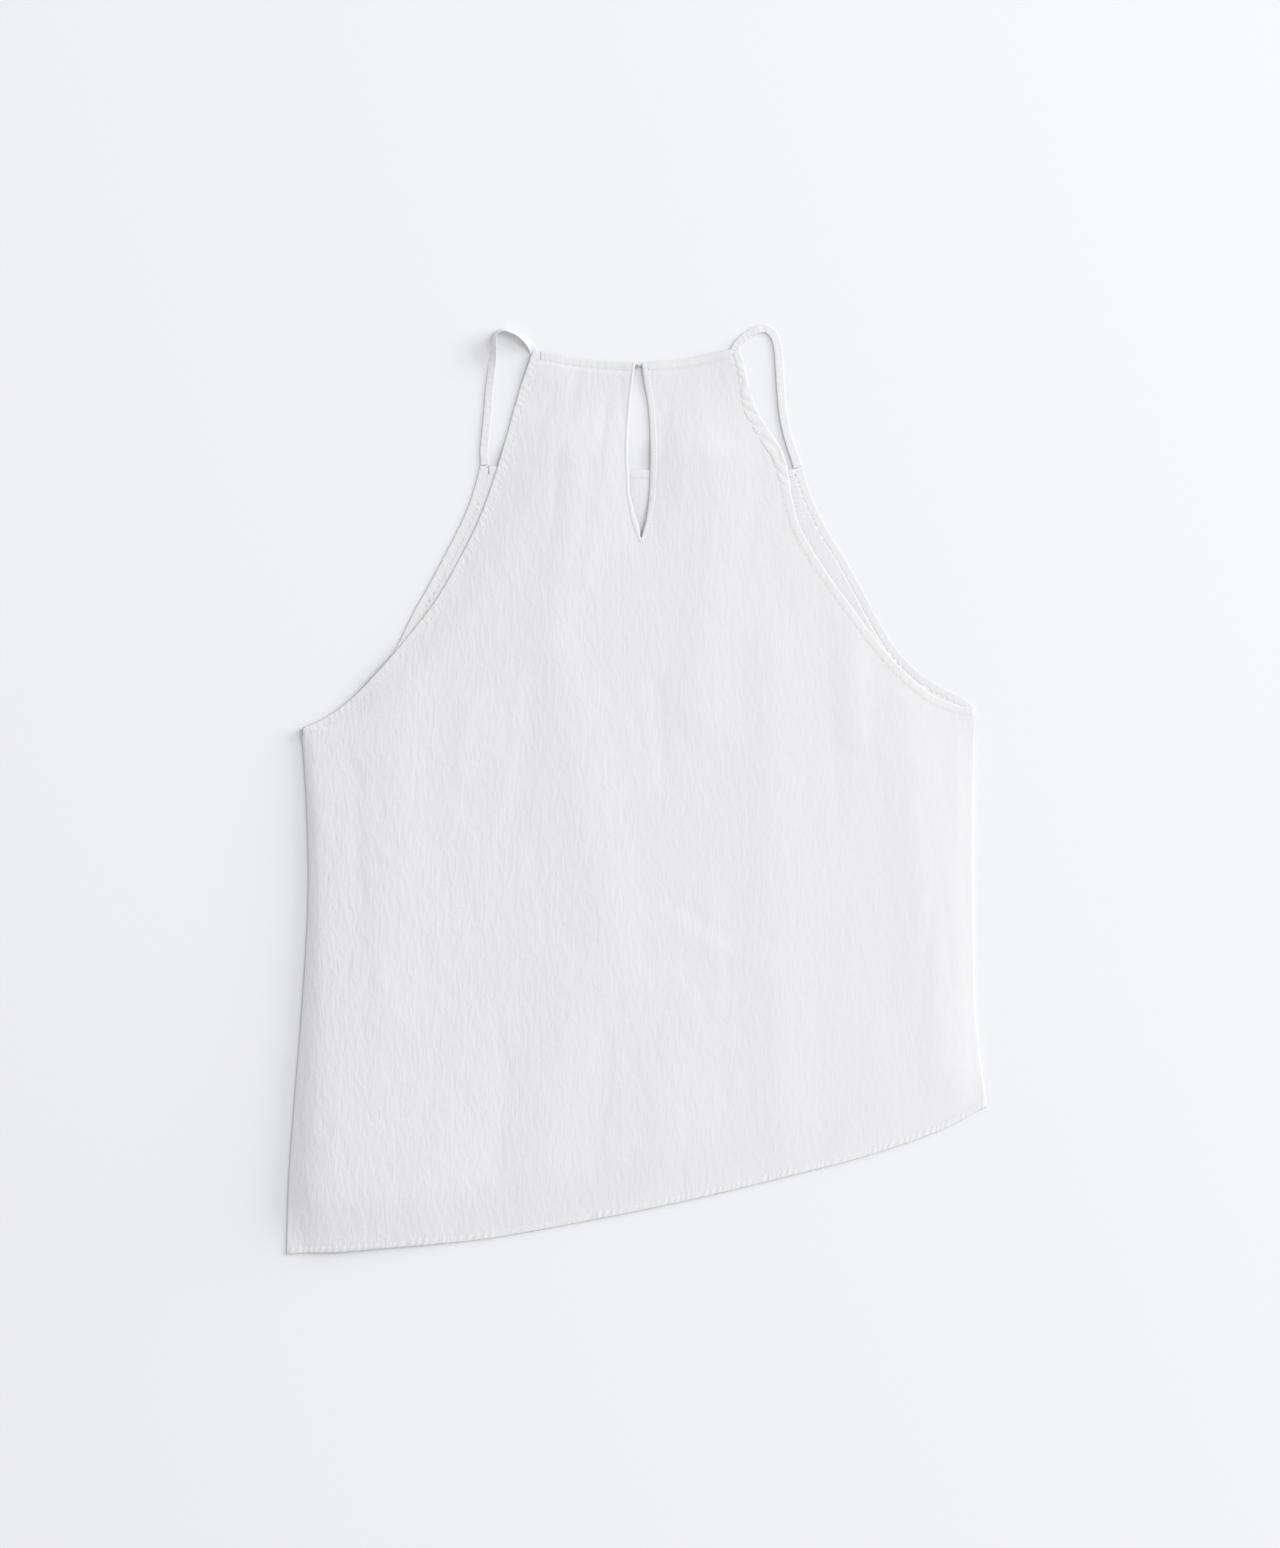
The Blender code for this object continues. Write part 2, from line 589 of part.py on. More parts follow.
def build_back(finish):
    """The back panel: its centre column is split above the slit's foot into two lips."""
    shares = row_shares(BACK_SIDE_ROWS, back_arm_shares())
    foot_row = len(shares) - BACK_SLIT_ROWS - 2
    half = BACK_COLUMNS + len(EDGE_STEPS) - 1
    columns = half * 2
    rows = len(shares) - 1

    mesh = bpy.data.meshes.new("back_panel")
    form = bmesh.new()
    bmesh.ops.create_grid(form, x_segments=columns, y_segments=rows, size=0.5)
    split = []
    for edge in form.edges:
        ends = [grid_spot(vert, columns, rows) for vert in edge.verts]
        if all(column == half for column, _ in ends) and all(row >= foot_row for _, row in ends):
            split.append(edge)
    bmesh.ops.split_edges(form, edges=split)
    form.verts.index_update()
    weights = {}
    spots = {}
    for vert in form.verts:
        column, row = grid_spot(vert, columns, rows)
        side = -1 if column < half else 1
        if column == half:
            middle = sum((face.calc_center_median().x for face in vert.link_faces))
            side = -1 if middle < 0 else 1
        spots[vert.index] = (column, row, side)
    for vert in form.verts:
        column, row, side = spots[vert.index]
        low, high, up_at = back_pattern.row(*shares[row])
        slit = KEYHOLE_TIP_ACROSS
        if row > foot_row:
            slit = lip(up_at(KEYHOLE_TIP_ACROSS), side, 1.0) + side * SEAM_GAP
        if side < 0:
            steps = stepped(slit - low, EDGE_STEPS, BACK_COLUMNS)
            across = low + steps[column]
        else:
            steps = stepped(high - slit, EDGE_STEPS, BACK_COLUMNS)
            across = high - steps[columns - column]
        up = up_at(across)
        turned = row <= 1 or (shares[row][1] <= 0 and min(column, columns - column) <= 2)
        weights[vert.index] = 1.0 if turned else 0.0
        vert.co = place(across, up, back_height(across, up))
    face_up(form)
    form.to_mesh(mesh)
    form.free()
    return thicken("back_panel", mesh, weights, finish)


def build_front(finish):
    """The front panel lies flat under the back, with its own armholes and neck edge."""
    shares = row_shares(FRONT_SIDE_ROWS, even(FRONT_ARMHOLE_ROWS)[1:])
    half = FRONT_COLUMNS + len(FRONT_EDGE_STEPS) - 1
    columns = half * 2

    def where(column, row):
        low, high, up_at = front_pattern.row(*shares[row])
        steps = stepped((high - low) / 2, FRONT_EDGE_STEPS, FRONT_COLUMNS)
        across = low + steps[column] if column <= half else high - steps[columns - column]
        up = up_at(across)
        return place(across, up, front_height(across, up))

    def thick_share(column, row):
        beside_seam = shares[row][1] <= 0 and min(column, columns - column) <= 1
        return 1.0 if row <= 1 or beside_seam else 0.0

    return cloth_grid(
        "front_panel", columns, len(shares) - 1, where, thick_share, finish)


def binding(name, stations, outer, inner, height, finish, roll=None):
    """A folded strip between two rails, thicker along its middle than at its edges."""
    def where(column, row):
        share = stations[row]
        x0, y0 = outer(share)
        x1, y1 = inner(share)
        part = CROWN[column]
        across = x0 + (x1 - x0) * part
        up = y0 + (y1 - y0) * part
        lift = roll(share, part) if roll else 0.0
        return place(across, up, height(across, up) + lift)

    return cloth_grid(
        name, len(CROWN) - 1, len(stations) - 1, where,
        lambda column, row: 1.0 if 0 < column < len(CROWN) - 1 else 0.0, finish)


def beside_rows(arm_shares, top, parts=1):
    """A binding's stations: the panel's own rows, each split into parts, up to the neck."""
    marks = [0.0] + [share * top for share in arm_shares] + [1.0]
    stations = [0.0]
    for low, high in zip(marks, marks[1:]):
        split = parts if high > ROLLED_FROM else 1
        stations += even(split, low, high)[1:]
    return stations


def build_armhole_bindings(finish):
    """Four strips, from the side seams up to the neck corners."""
    def rolled(share, part):
        """Slanting waves where the right strip is rolled outwards."""
        if share < ROLLED_FROM:
            return 0.0
        turn = (share - ROLLED_FROM) / (1 - ROLLED_FROM) * ROLL_WAVES + part * ROLL_SLANT
        fade = ease((share - ROLLED_FROM) / ROLL_FADE) * ease((1 - share) / ROLL_FADE)
        return ROLL_WAVE_HEIGHT * fade * (0.5 + 0.5 * math.sin(turn * math.tau))

    rows = back_arm_shares()
    binding(
        "back_armhole_binding_left", beside_rows(rows, back_pattern.left_top), left_armhole.at,
        lambda share: left_armhole.inset(share, ARMHOLE_BINDING_WIDTH), back_height, finish)
    binding(
        "back_armhole_binding_right", beside_rows(rows, back_pattern.right_top, ROLL_PARTS),
        right_armhole.at,
        lambda share: right_armhole.inset(share, rolled_binding_width(share)), back_height,
        finish, rolled)
    rows = even(FRONT_ARMHOLE_ROWS)[1:]
    for side, edge, top in (
            ("left", front_left_armhole, front_pattern.left_top),
            ("right", front_right_armhole, front_pattern.right_top)):
        binding(
            f"front_armhole_binding_{side}", beside_rows(rows, top), edge.at,
            lambda share, edge=edge: edge.inset(share, FRONT_BINDING_WIDTH), front_height,
            finish)


def build_neck_bindings(finish):
    """The back neck edge's two strips and the front neck edge's one."""
    left_lip, right_lip = (
        lip(neck_height(0.0), side, 1.0) + side * SEAM_GAP for side in (-1, 1))
    neck_strip(
        "back_neck_binding_left",
        neck_corners(left_armhole, back_binding_width, neck_height),
        (left_lip, left_lip - NECK_SLANT_LEFT), neck_height, back_height, finish)
    neck_strip(
        "back_neck_binding_right", (right_lip, right_lip + NECK_SLANT_RIGHT),
        neck_corners(right_armhole, rolled_binding_width, neck_height), neck_height,
        back_height, finish)
    neck_strip(
        "front_neck_binding",
        neck_corners(front_left_armhole, front_binding_width, front_neck_height),
        neck_corners(front_right_armhole, front_binding_width, front_neck_height),
        front_neck_height, front_height, finish)


def neck_corners(armhole, width, line):
    """Where a neck strip's end is across, at its top and at its lower edge."""
    def inset(share):
        return armhole.inset(share, width(share) + SEAM_GAP)

    (x0, y0), (x1, y1) = inset(TOP_SLOPE_FROM), inset(1.0)
    top = x1 + (x1 - x0) * (line(x1) - y1) / (y1 - y0)
    return top, inset(share_for_height(inset, line, NECK_BINDING_WIDTH))[0]


def neck_strip(name, start, end, line, height, finish):
    """A strip under a neck line; start and end hold its upper and lower corners across."""
    def rail(corner, drop):
        def spot(share):
            across = start[corner] + (end[corner] - start[corner]) * share
            return across, line(across) - drop
        return spot

    binding(
        name, even(NECK_STRIP_PARTS), rail(0, 0.0), rail(1, NECK_BINDING_WIDTH), height, finish)


def build_keyhole_binding(finish):
    """One strip down the left lip, round the foot and up the right lip."""
    ups = [slit_up(share) for share in slit_shares()] + [neck_height(0.0)]
    path = [(-1, up) for up in reversed(ups)] + [(0, KEYHOLE_TIP_UP)] + [(1, up) for up in ups]

    def rail(with_binding):
        def spot(share):
            side, up = path[round(share * (len(path) - 1))]
            if side == 0:
                return KEYHOLE_TIP_ACROSS, up - with_binding * KEYHOLE_TIP_BINDING
            return lip(up, side, with_binding), up
        return spot

    binding(
        "keyhole_binding", even(len(path) - 1), rail(1.0), rail(0.0), back_height, finish)


def ribbon_profile():
    """A flat strip's cross-section with rounded corners, as a guide for the straps."""
    curve = bpy.data.curves.new("strap_section", "CURVE")
    curve.dimensions = "2D"
    half_width, half_wall, round_off = STRAP_WIDTH / 2, STRAP_WALL / 2, STRAP_ROUND
    corners = [
        (round_off - half_width, -half_wall), (-half_width, -half_wall + round_off),
        (-half_width, half_wall - round_off), (round_off - half_width, half_wall),
        (half_width - round_off, half_wall), (half_width, half_wall - round_off),
        (half_width, -half_wall + round_off), (half_width - round_off, -half_wall)]
    spline = curve.splines.new("POLY")
    spline.points.add(len(corners) - 1)
    for point, (x, y) in zip(spline.points, corners):
        point.co = (x * MM, y * MM, 0.0, 1.0)
    spline.use_cyclic_u = True
    guide = bpy.data.objects.new("strap_section", curve)
    guide.hide_render = True
    guide.display_type = "WIRE"
    GUIDES.objects.link(guide)
    return guide


def build_strap(name, rows, profile, finish):
    """A ribbon along its path that turns from flat at its ends to on edge in its loop."""
    curve = bpy.data.curves.new(name, "CURVE")
    curve.dimensions = "3D"
    curve.twist_mode = "Z_UP"
    curve.bevel_mode = "OBJECT"
    curve.bevel_object = profile
    curve.use_fill_caps = True
    spline = curve.splines.new("POLY")
    count = (len(rows) - 1) * STRAP_STEPS
    spline.points.add(count)
    for k, point in enumerate(spline.points):
        spot = Strap(*smooth_row(rows, k / STRAP_STEPS))
        lean = math.radians(spot.lean)
        rise = STRAP_WIDTH / 2 * abs(math.sin(lean)) + STRAP_WALL / 2 * math.cos(lean)
        point.co = (*place(spot.across, spot.up, spot.lift + rise * spot.size), 1.0)
        point.tilt = lean
        point.radius = spot.size
    made = bpy.data.objects.new(name, curve)
    curve.materials.append(finish)
    MODEL.objects.link(made)
    return made


def wire(name, path, finish):
    """Round wire along a path of (across, up, height)."""
    curve = bpy.data.curves.new(name, "CURVE")
    curve.dimensions = "3D"
    curve.bevel_depth = WIRE / 2 * MM
    curve.bevel_resolution = 1
    curve.use_fill_caps = True
    spline = curve.splines.new("POLY")
    spline.points.add(len(path) - 1)
    for point, spot in zip(spline.points, path):
        point.co = (*place(*spot), 1.0)
    made = bpy.data.objects.new(name, curve)
    curve.materials.append(finish)
    MODEL.objects.link(made)
    return made


def sewing_ring(across, leg, side):
    """Three quarters of a small ring at the end of a leg, from its free end to the leg."""
    spots = []
    for k in range(RING_PARTS + 1):
        turn = math.radians(RING_TURN) * (1 - k / RING_PARTS)
        spots.append((
            across + side * RING_RADIUS * math.sin(turn),
            FASTENING_UP + leg + RING_RADIUS * (1 - math.cos(turn)), WIRE_LOW))
    return spots


def doubled(half_path):
    """A path and its mirror image across the fastening's own line."""
    back = [(across, 2 * FASTENING_UP - up, height) for across, up, height in half_path]
    return half_path + back[::-1]


def build_fastening(finish):
    """The hook's doubled bill passes through the eye and back over its bar."""
    hook = sewing_ring(HOOK_RING, HOOK_LEG, 1)
    rise = HOOK_BILL_HEIGHT - WIRE_LOW
    for turn in (0, *BILL_TURNS):
        angle = math.radians(turn)
        hook.append((
            HOOK_BEND + BILL_ROUND * (1 - math.sin(angle)), FASTENING_UP + HOOK_LEG,
            WIRE_LOW + rise * (1 - math.cos(angle)) / 2))
    hook.append((HOOK_BILL_TIP, FASTENING_UP + HOOK_LEG, HOOK_BILL_HEIGHT))
    wire("neck_hook", doubled(hook), finish)

    eye = sewing_ring(EYE_RING, EYE_LEG, -1)
    bend_back, bend_drop = EYE_BAR_BEND
    end_back, end_share = EYE_BAR_END
    eye.append((EYE_LEG_START, FASTENING_UP + EYE_LEG, WIRE_LOW))
    eye.append((EYE_BAR - bend_back, FASTENING_UP + EYE_LEG, EYE_BAR_HEIGHT - bend_drop))
    eye.append((EYE_BAR - end_back, FASTENING_UP + EYE_LEG * end_share, EYE_BAR_HEIGHT))
    wire("neck_eye", doubled(eye), finish)


def main():
    """Clear the scene and build every piece."""
    for old in list(bpy.data.objects):
        bpy.data.objects.remove(old)
    for collection in (MODEL, GUIDES):
        bpy.context.scene.collection.children.link(collection)
    linen = material("white linen", (0.86, 0.86, 0.85), 0.9)
    linen_front = material("white linen, front", (0.84, 0.84, 0.83), 0.9)
    linen_bias = material("white linen bias strip", (0.87, 0.87, 0.86), 0.88)
    steel = material("pale nickel wire", (0.62, 0.61, 0.59), 0.35, 1.0)
    build_back(linen)
    build_front(linen_front)
    build_armhole_bindings(linen_bias)
    build_neck_bindings(linen_bias)
    build_keyhole_binding(linen_bias)
    profile = ribbon_profile()
    build_strap("strap_left", LEFT_STRAP, profile, linen_bias)
    build_strap("strap_right", RIGHT_STRAP, profile, linen_bias)
    build_fastening(steel)


main()
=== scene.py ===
import math

import bmesh
import bpy
import numpy as np
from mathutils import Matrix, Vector


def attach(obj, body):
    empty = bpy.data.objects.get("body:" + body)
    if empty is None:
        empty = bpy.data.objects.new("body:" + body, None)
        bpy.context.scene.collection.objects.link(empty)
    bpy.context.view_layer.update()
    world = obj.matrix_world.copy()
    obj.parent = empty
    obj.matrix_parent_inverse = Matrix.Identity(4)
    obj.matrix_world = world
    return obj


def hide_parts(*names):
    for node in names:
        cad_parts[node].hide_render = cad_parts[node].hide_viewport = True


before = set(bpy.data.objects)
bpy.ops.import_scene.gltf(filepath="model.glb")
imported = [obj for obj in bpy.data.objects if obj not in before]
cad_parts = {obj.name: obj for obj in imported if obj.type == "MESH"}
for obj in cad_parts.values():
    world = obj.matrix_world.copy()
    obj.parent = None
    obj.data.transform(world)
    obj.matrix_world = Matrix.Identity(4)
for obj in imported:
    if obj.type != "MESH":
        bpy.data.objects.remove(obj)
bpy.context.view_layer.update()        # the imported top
print("frame loaded:", len(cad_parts), "solids")

mm = 0.001
farOff = 1000      # mm, beyond every reach
cloudCells = 128   # after so many the noise repeats
tangentReach, cornerFade = 0.012, 0.07   # shares of an armhole

# The cut in mm, as the solids have it: across from the keyhole's centre, up from the hem
cut = {
    "centreAcross": -1.7,
    "centreUp": 324.875,
    "leftSide": [(-246.6, -1.4), (-245, 50), (-241, 105), (-235, 180),
                 (-231.2, 250), (-232.4, 315), (-236, 368.1)],
    "rightSide": [(243.2, 101.5), (238, 143), (235, 180), (233.9, 248),
                  (233.9, 315), (235, 383)],
    "leftArmhole": [(-236, 368.1), (-220.6, 375.1), (-203, 387.8), (-184, 407),
                    (-164.4, 429.9), (-142.6, 458), (-126.5, 486.1), (-114, 511),
                    (-104, 537), (-94.5, 568), (-85, 602), (-74.5, 633)],
    "rightArmhole": [(235, 383), (225.5, 383.4), (214.3, 387.6), (203, 393.6),
                     (186, 408), (169.3, 426.6), (150, 452), (130, 480),
                     (114.5, 506), (108, 527), (105, 545), (101.5, 560),
                     (95.5, 571.5), (88.5, 582), (82.5, 592.5), (78, 606),
                     (74.5, 620), (70.5, 634.5)],
    "frontLeftArmhole": [(-236, 368.1), (-218, 373.5), (-200, 384), (-183.5, 401),
                         (-169.8, 426), (-158, 450), (-148.9, 466), (-134, 494),
                         (-122.2, 518), (-115.5, 537), (-111.7, 552.3)],
    "frontRightArmhole": [(235, 384), (225.5, 390.5), (214.3, 396.2), (203, 402.5),
                          (192, 411.5), (181.2, 423.5), (169.3, 442), (157.4, 464.5),
                          (145, 487), (132.1, 508), (121.5, 530), (115.2, 550)],
    "hemSag": [(0, 0), (0.07, 5.9), (0.14, 10.3), (0.22, 15.3), (0.30, 19),
               (0.45, 21), (0.59, 21.1), (0.73, 18.9), (0.82, 16.9), (0.90, 12.6),
               (0.95, 7.8), (1, 0)],
    "neckSag": [(0, 0), (0.25, 6), (0.5, 9), (0.75, 6.5), (1, 0)],
    "frontNeckSag": [(0, 0), (0.5, 1.5), (1, 0)],
    "rolledWidths": [(0, 6.5), (0.58, 6.5), (0.68, 7.5), (0.78, 10), (0.86, 9),
                     (0.93, 6.5), (1, 5.6)],
    # up, left lip, right lip, left binding, right binding
    "keyhole": [(509, 0.3, 3.8, 4.6, 3), (516, -2.1, 5.3, 4.2, 3.7),
                (524, -4.4, 6.4, 3, 4.3), (533, -6.4, 7.2, 2.5, 4.7),
                (545, -6.9, 7.6, 2.5, 4.8), (556, -7.6, 8, 2.5, 4.8),
                (575, -7.4, 7.7, 2.4, 4.8), (595, -6, 6.3, 2.3, 4.6),
                (612, -4.2, 3.3, 2.2, 4.4), (626, -2.2, 1.7, 2.2, 4.2)],
    "keyholeTip": (1.4, 501.6),
    "keyholeTipBinding": 4,
    "bindingWidth": 6.5,
    "hemFade": 1.3,
    "neckFade": 2,
}

# How the back lies, in mm: what is under it, the air it holds and its largest folds
lie = {
    "onFront": 2.1, "onSurface": 0.3, "air": 0.5, "airReach": 42,
    "sideRound": 20, "sideRoundHeight": 0.6, "tipReach": 40, "tipCalm": 0.9,
    "neckDropFrom": 557, "neckDropLength": 36, "neckAir": 0.2, "neckFolds": 0.55,
    "foldEnd": 1.6,
    # up, height, reach
    "leftRoll": [(-2, 3, 30), (35, 5, 34), (80, 4.6, 32), (177, 2.4, 20),
                 (317, 1, 12), (400, 0, 8)],
    "leftRollRun": 130,
    # across, up, reach, height
    "rests": [(-74.5, 628, 20, 2.3), (68, 629, 20, 2.3), (0, 624, 17, 1.9)],
    # low end across and up, high end across and up, reach, height
    "folds": [
        (-178, 170, -172, 395, 22, 1),
        (-150, 25, -110, 150, 26, 0.6), (-74, 30, -50, 190, 22, 0.8),
        (-14, 190, -50, 390, 22, 1), (-62, 425, -40, 600, 17, 1.1),
        (8, 20, 30, 175, 20, 0.5), (42, 380, 56, 545, 19, 1),
        (30, 225, 84, 205, 12, 0.5), (100, 60, 92, 425, 19, 0.9),
        (152, 365, 146, 440, 12, 0.8), (212, 130, 186, 385, 19, 0.9),
        (176, 80, 168, 150, 18, 0.6), (1, 505, 0, 556, 13, -0.8),
        (13, 520, 12, 612, 7, 0.4), (48, 560, 38, 624, 12, 0.6),
        (-24, 530, -22, 618, 9, 0.5)],
}


# Numbers along lines

def ease(share):
    share = np.clip(share, 0.0, 1.0)
    return share * share * (3 - 2 * share)


def smoothLine(rows, samples):  # rows read as one smooth curve
    rows = np.array(rows, float)
    last = len(rows) - 1
    spots = np.linspace(0, last, samples + 1)
    index = np.minimum(spots.astype(int), last - 1)
    step = (spots - index)[:, None]
    before, start = rows[np.maximum(index - 1, 0)], rows[index]
    end, after = rows[index + 1], rows[np.minimum(index + 2, last)]
    slope, nextSlope, rise = (end - before) / 2, (after - start) / 2, end - start
    bend = 3 * rise - 2 * slope - nextSlope
    return start + step * (slope + step * (bend + step * (slope + nextSlope - 2 * rise)))


def sagCurve(rows):  # depth by share, smooth in depth and straight in share
    samples = 40 * (len(rows) - 1)
    shares = np.interp(np.linspace(0, len(rows) - 1, samples + 1), range(len(rows)),
                       [row[0] for row in rows])
    depths = smoothLine(rows, samples)[:, 1]
    return lambda share: np.interp(share, shares, depths)


def cloud(across, up, seed):  # smooth noise from -1 to 1, one value a unit
    table = np.random.default_rng(seed).uniform(-1, 1, (cloudCells, cloudCells))
    column, row = np.floor(across).astype(int), np.floor(up).astype(int)
    a, b = ease(across - column), ease(up - row)

    def corner(right, over):
        return table[(row + over) % cloudCells, (column + right) % cloudCells]

    low = corner(0, 0) * (1 - a) + corner(1, 0) * a
    high = corner(0, 1) * (1 - a) + corner(1, 1) * a
    return low * (1 - b) + high * b


class Edge:  # a cut edge, read by a share of its length
    def __init__(self, rows):
        self.line = smoothLine(rows, 240)
        steps = np.hypot(*np.diff(self.line, axis=0).T)
        self.lengths = np.concatenate([[0.0], np.cumsum(steps)])
        self.length = self.lengths[-1]

    def at(self, share):
        goal = np.clip(share, 0.0, 1.0) * self.length
        return np.stack([np.interp(goal, self.lengths, self.line[:, k]) for k in (0, 1)], -1)


class Armhole(Edge):  # side is -1 on the left and 1 on the right
    def __init__(self, rows, seamRows, side):
        super().__init__(rows)
        self.side = side
        seam = Vector(seamRows[-2]) - Vector(seamRows[-1])
        start = Vector(rows[1]) - Vector(rows[0])
        seam.normalize()
        start.normalize()
        inward = Vector((-start.y, start.x)) * side
        self.slide = np.array(seam / max(0.5, seam.dot(inward)))

    def inset(self, share, width):  # at the corner it slides down the side seam
        share = np.asarray(share, float)
        step = self.at(share + tangentReach) - self.at(share - tangentReach)
        step = step / np.hypot(step[..., 0], step[..., 1])[..., None]
        inward = self.side * np.stack([-step[..., 1], step[..., 0]], -1)
        straight = (width * ease(share / cornerFade))[..., None]
        slid = np.asarray(width)[..., None] - straight
        return self.at(share) + inward * straight + self.slide * slid


leftSide, rightSide = Edge(cut["leftSide"]), Edge(cut["rightSide"])
leftArmhole = Armhole(cut["leftArmhole"], cut["leftSide"], -1)
rightArmhole = Armhole(cut["rightArmhole"], cut["rightSide"], 1)
frontLeftArmhole = Armhole(cut["frontLeftArmhole"], cut["leftSide"], -1)
frontRightArmhole = Armhole(cut["frontRightArmhole"], cut["rightSide"], 1)
hemSag = sagCurve(cut["hemSag"])
neckSag = sagCurve(cut["neckSag"])
frontNeckSag = sagCurve(cut["frontNeckSag"])


def neckLineOf(left, right, sag):
    def line(across):
        share = (across - left[0]) / (right[0] - left[0])
        return left[1] + (right[1] - left[1]) * share - sag(np.clip(share, 0, 1))
    return line


neckLine = neckLineOf(cut["leftArmhole"][-1], cut["rightArmhole"][-1], neckSag)
frontNeckLine = neckLineOf(
    cut["frontLeftArmhole"][-1], cut["frontRightArmhole"][-1], frontNeckSag)


def rolledWidth(share):
    return np.interp(share, *zip(*cut["rolledWidths"]))


def lip(up, side, withBinding):  # where a lip of the slit is, plus a share of its binding
    ups, left, right, leftWidth, rightWidth = zip(*cut["keyhole"])
    tipAcross, tipUp = cut["keyholeTip"]
    edge, width = (left, leftWidth) if side < 0 else (right, rightWidth)
    outside = np.interp(up, ups, edge) + side * withBinding * np.interp(up, ups, width)
    foot = tipUp - withBinding * cut["keyholeTipBinding"]
    share = np.clip((up - foot) / (ups[0] - foot), 0, 1)
    return tipAcross + (outside - tipAcross) * share


def hemLine(across):
    start, end = cut["leftSide"][0], cut["rightSide"][0]
    share = np.clip((across - start[0]) / (end[0] - start[0]), 0, 1)
    return start[1] + (end[1] - start[1]) * share - hemSag(share)


# Heights

def sideGaps(across, up):  # distances in from both side seams
    left = np.interp(up, leftSide.line[:, 1], leftSide.line[:, 0])
    right = np.interp(up, rightSide.line[:, 1], rightSide.line[:, 0])
    return across - left, right - across


def leftRoll(gap, up):  # up within its reach of the seam, then slowly down
    ups, heights, reaches = zip(*lie["leftRoll"])
    height, reach = np.interp(up, ups, heights), np.interp(up, ups, reaches)
    rise = 1 - (1 - np.clip(gap / reach, 0, 1)) ** 2
    return height * rise * (1 - ease((gap - reach) / lie["leftRollRun"]))


def ridge(fold, across, up):  # a soft ridge along a line, faded at both ends
    lowAcross, lowUp, highAcross, highUp, reach, height = fold
    runAcross, runUp = highAcross - lowAcross, highUp - lowUp
    length = math.hypot(runAcross, runUp)
    along = ((across - lowAcross) * runAcross + (up - lowUp) * runUp) / length
    off = ((across - lowAcross) * runUp - (up - lowUp) * runAcross) / length
    fade = reach * lie["foldEnd"]
    ends = ease(1 + along / fade) * ease(1 + (length - along) / fade)
    return height * np.exp(-(off / reach) ** 2) * ends


def restLift(across, up):  # where it lies on the straps and on the hook and eye
    return sum(
        height * np.exp(-((across - restAcross) ** 2 + (up - restUp) ** 2) / reach ** 2)
        for restAcross, restUp, reach, height in lie["rests"])


def backHeight(across, up):  # the underside of the solid back
    drop = ease((up - lie["neckDropFrom"]) / lie["neckDropLength"])
    base = lie["onFront"] + (lie["onSurface"] - lie["onFront"]) * drop
    base = base + restLift(across, up)
    leftGap, rightGap = sideGaps(across, up)
    gap = np.maximum(np.minimum(leftGap, rightGap), 0)
    rounding = np.sqrt(1 - (1 - np.minimum(1.0, gap / lie["sideRound"])) ** 2)
    air = lie["air"] * ease(gap / lie["airReach"]) * (1 - (1 - lie["neckAir"]) * drop)
    folds = sum(ridge(fold, across, up) for fold in lie["folds"])
    folds = folds * (1 - (1 - lie["neckFolds"]) * drop)
    for tip in (cut["leftSide"][-1], cut["rightSide"][-1]):
        far = np.hypot(across - tip[0], up - tip[1])
        rounding = rounding * (1 - lie["tipCalm"] * np.exp(-(far / lie["tipReach"]) ** 2))
    roll = leftRoll(leftGap, up)
    return base + roll + rounding * (lie["sideRoundHeight"] * (1 - drop) + air + folds)


# The back's thin cloth on that form, in mm
creases = {
    # above the solid's underside and above the floor, and its calm strips along the seams
    "lift": 0.3, "least": 0.3, "calmGap": 9.0, "seamFade": 14.0,
    # how it turns down at its edges, which lie a little past the seams and the hem
    "edge": 0.4, "pastSeam": 0.7, "pastHem": 0.6, "rightTurn": 0.3, "hemTurn": 4.0,
    "leftTurn": [(0.0, 24.0), (120.0, 17.0), (250.0, 9.0), (370.0, 7.0)],
    # how it sinks onto the front, or onto the surface, near its edges: reach and depth
    "hem": (45.0, 4.2), "leftArmhole": (34.0, 2.4), "rightLip": (26.0, 2.2),
    "rightSeam": (16.0, 0.8), "overFront": 0.85, "overSurface": 0.3, "overRests": 0.4,
    "neckFrom": -2.0, "neckRun": 6.0, "lipFrom": -4.0, "lipFade": 45.0, "lipSlack": 0.1,
    "rightSeamTo": 380.0, "rightSeamFade": 30.0,
    # creases: low and high ends, reach and height, which is below 0 in a trough
    "lines": [
        (-238, 20, -231, 150, 8, 0.3), (-232, 180, -226, 300, 9, 0.3),
        (-205, 30, -190, 190, 9, -0.2), (-196, 210, -199, 340, 6, -0.3),
        (-132, 300, -120, 385, 7, 0.35), (-88, 295, -72, 410, 8, -0.45),
        (-62, 500, -56, 560, 5, -0.4), (-48, 585, -44, 618, 4, -0.3),
        (-38, 470, -28, 520, 6, 0.4), (-28, 560, -21, 605, 4, -0.35),
        (24, 245, 70, 214, 6, -0.3), (66, 232, 118, 268, 5, 0.12),
        (18, 330, 12, 400, 6, -0.35), (55, 175, 48, 260, 7, 0.2),
        (130, 60, 124, 180, 7, -0.2), (140, 300, 136, 372, 5.5, -0.25),
        (196, 150, 206, 250, 5, -0.15), (229, 130, 224, 330, 5, 0.12),
        (222, 150, 217, 215, 4, -0.1), (208, 260, 196, 330, 5, -0.12),
        (-100, 60, -92, 130, 6, -0.35), (-30, 60, -24, 150, 7, -0.3),
        (20, 600, 16, 560, 4, -0.3), (70, 470, 84, 540, 6, -0.2)],
}


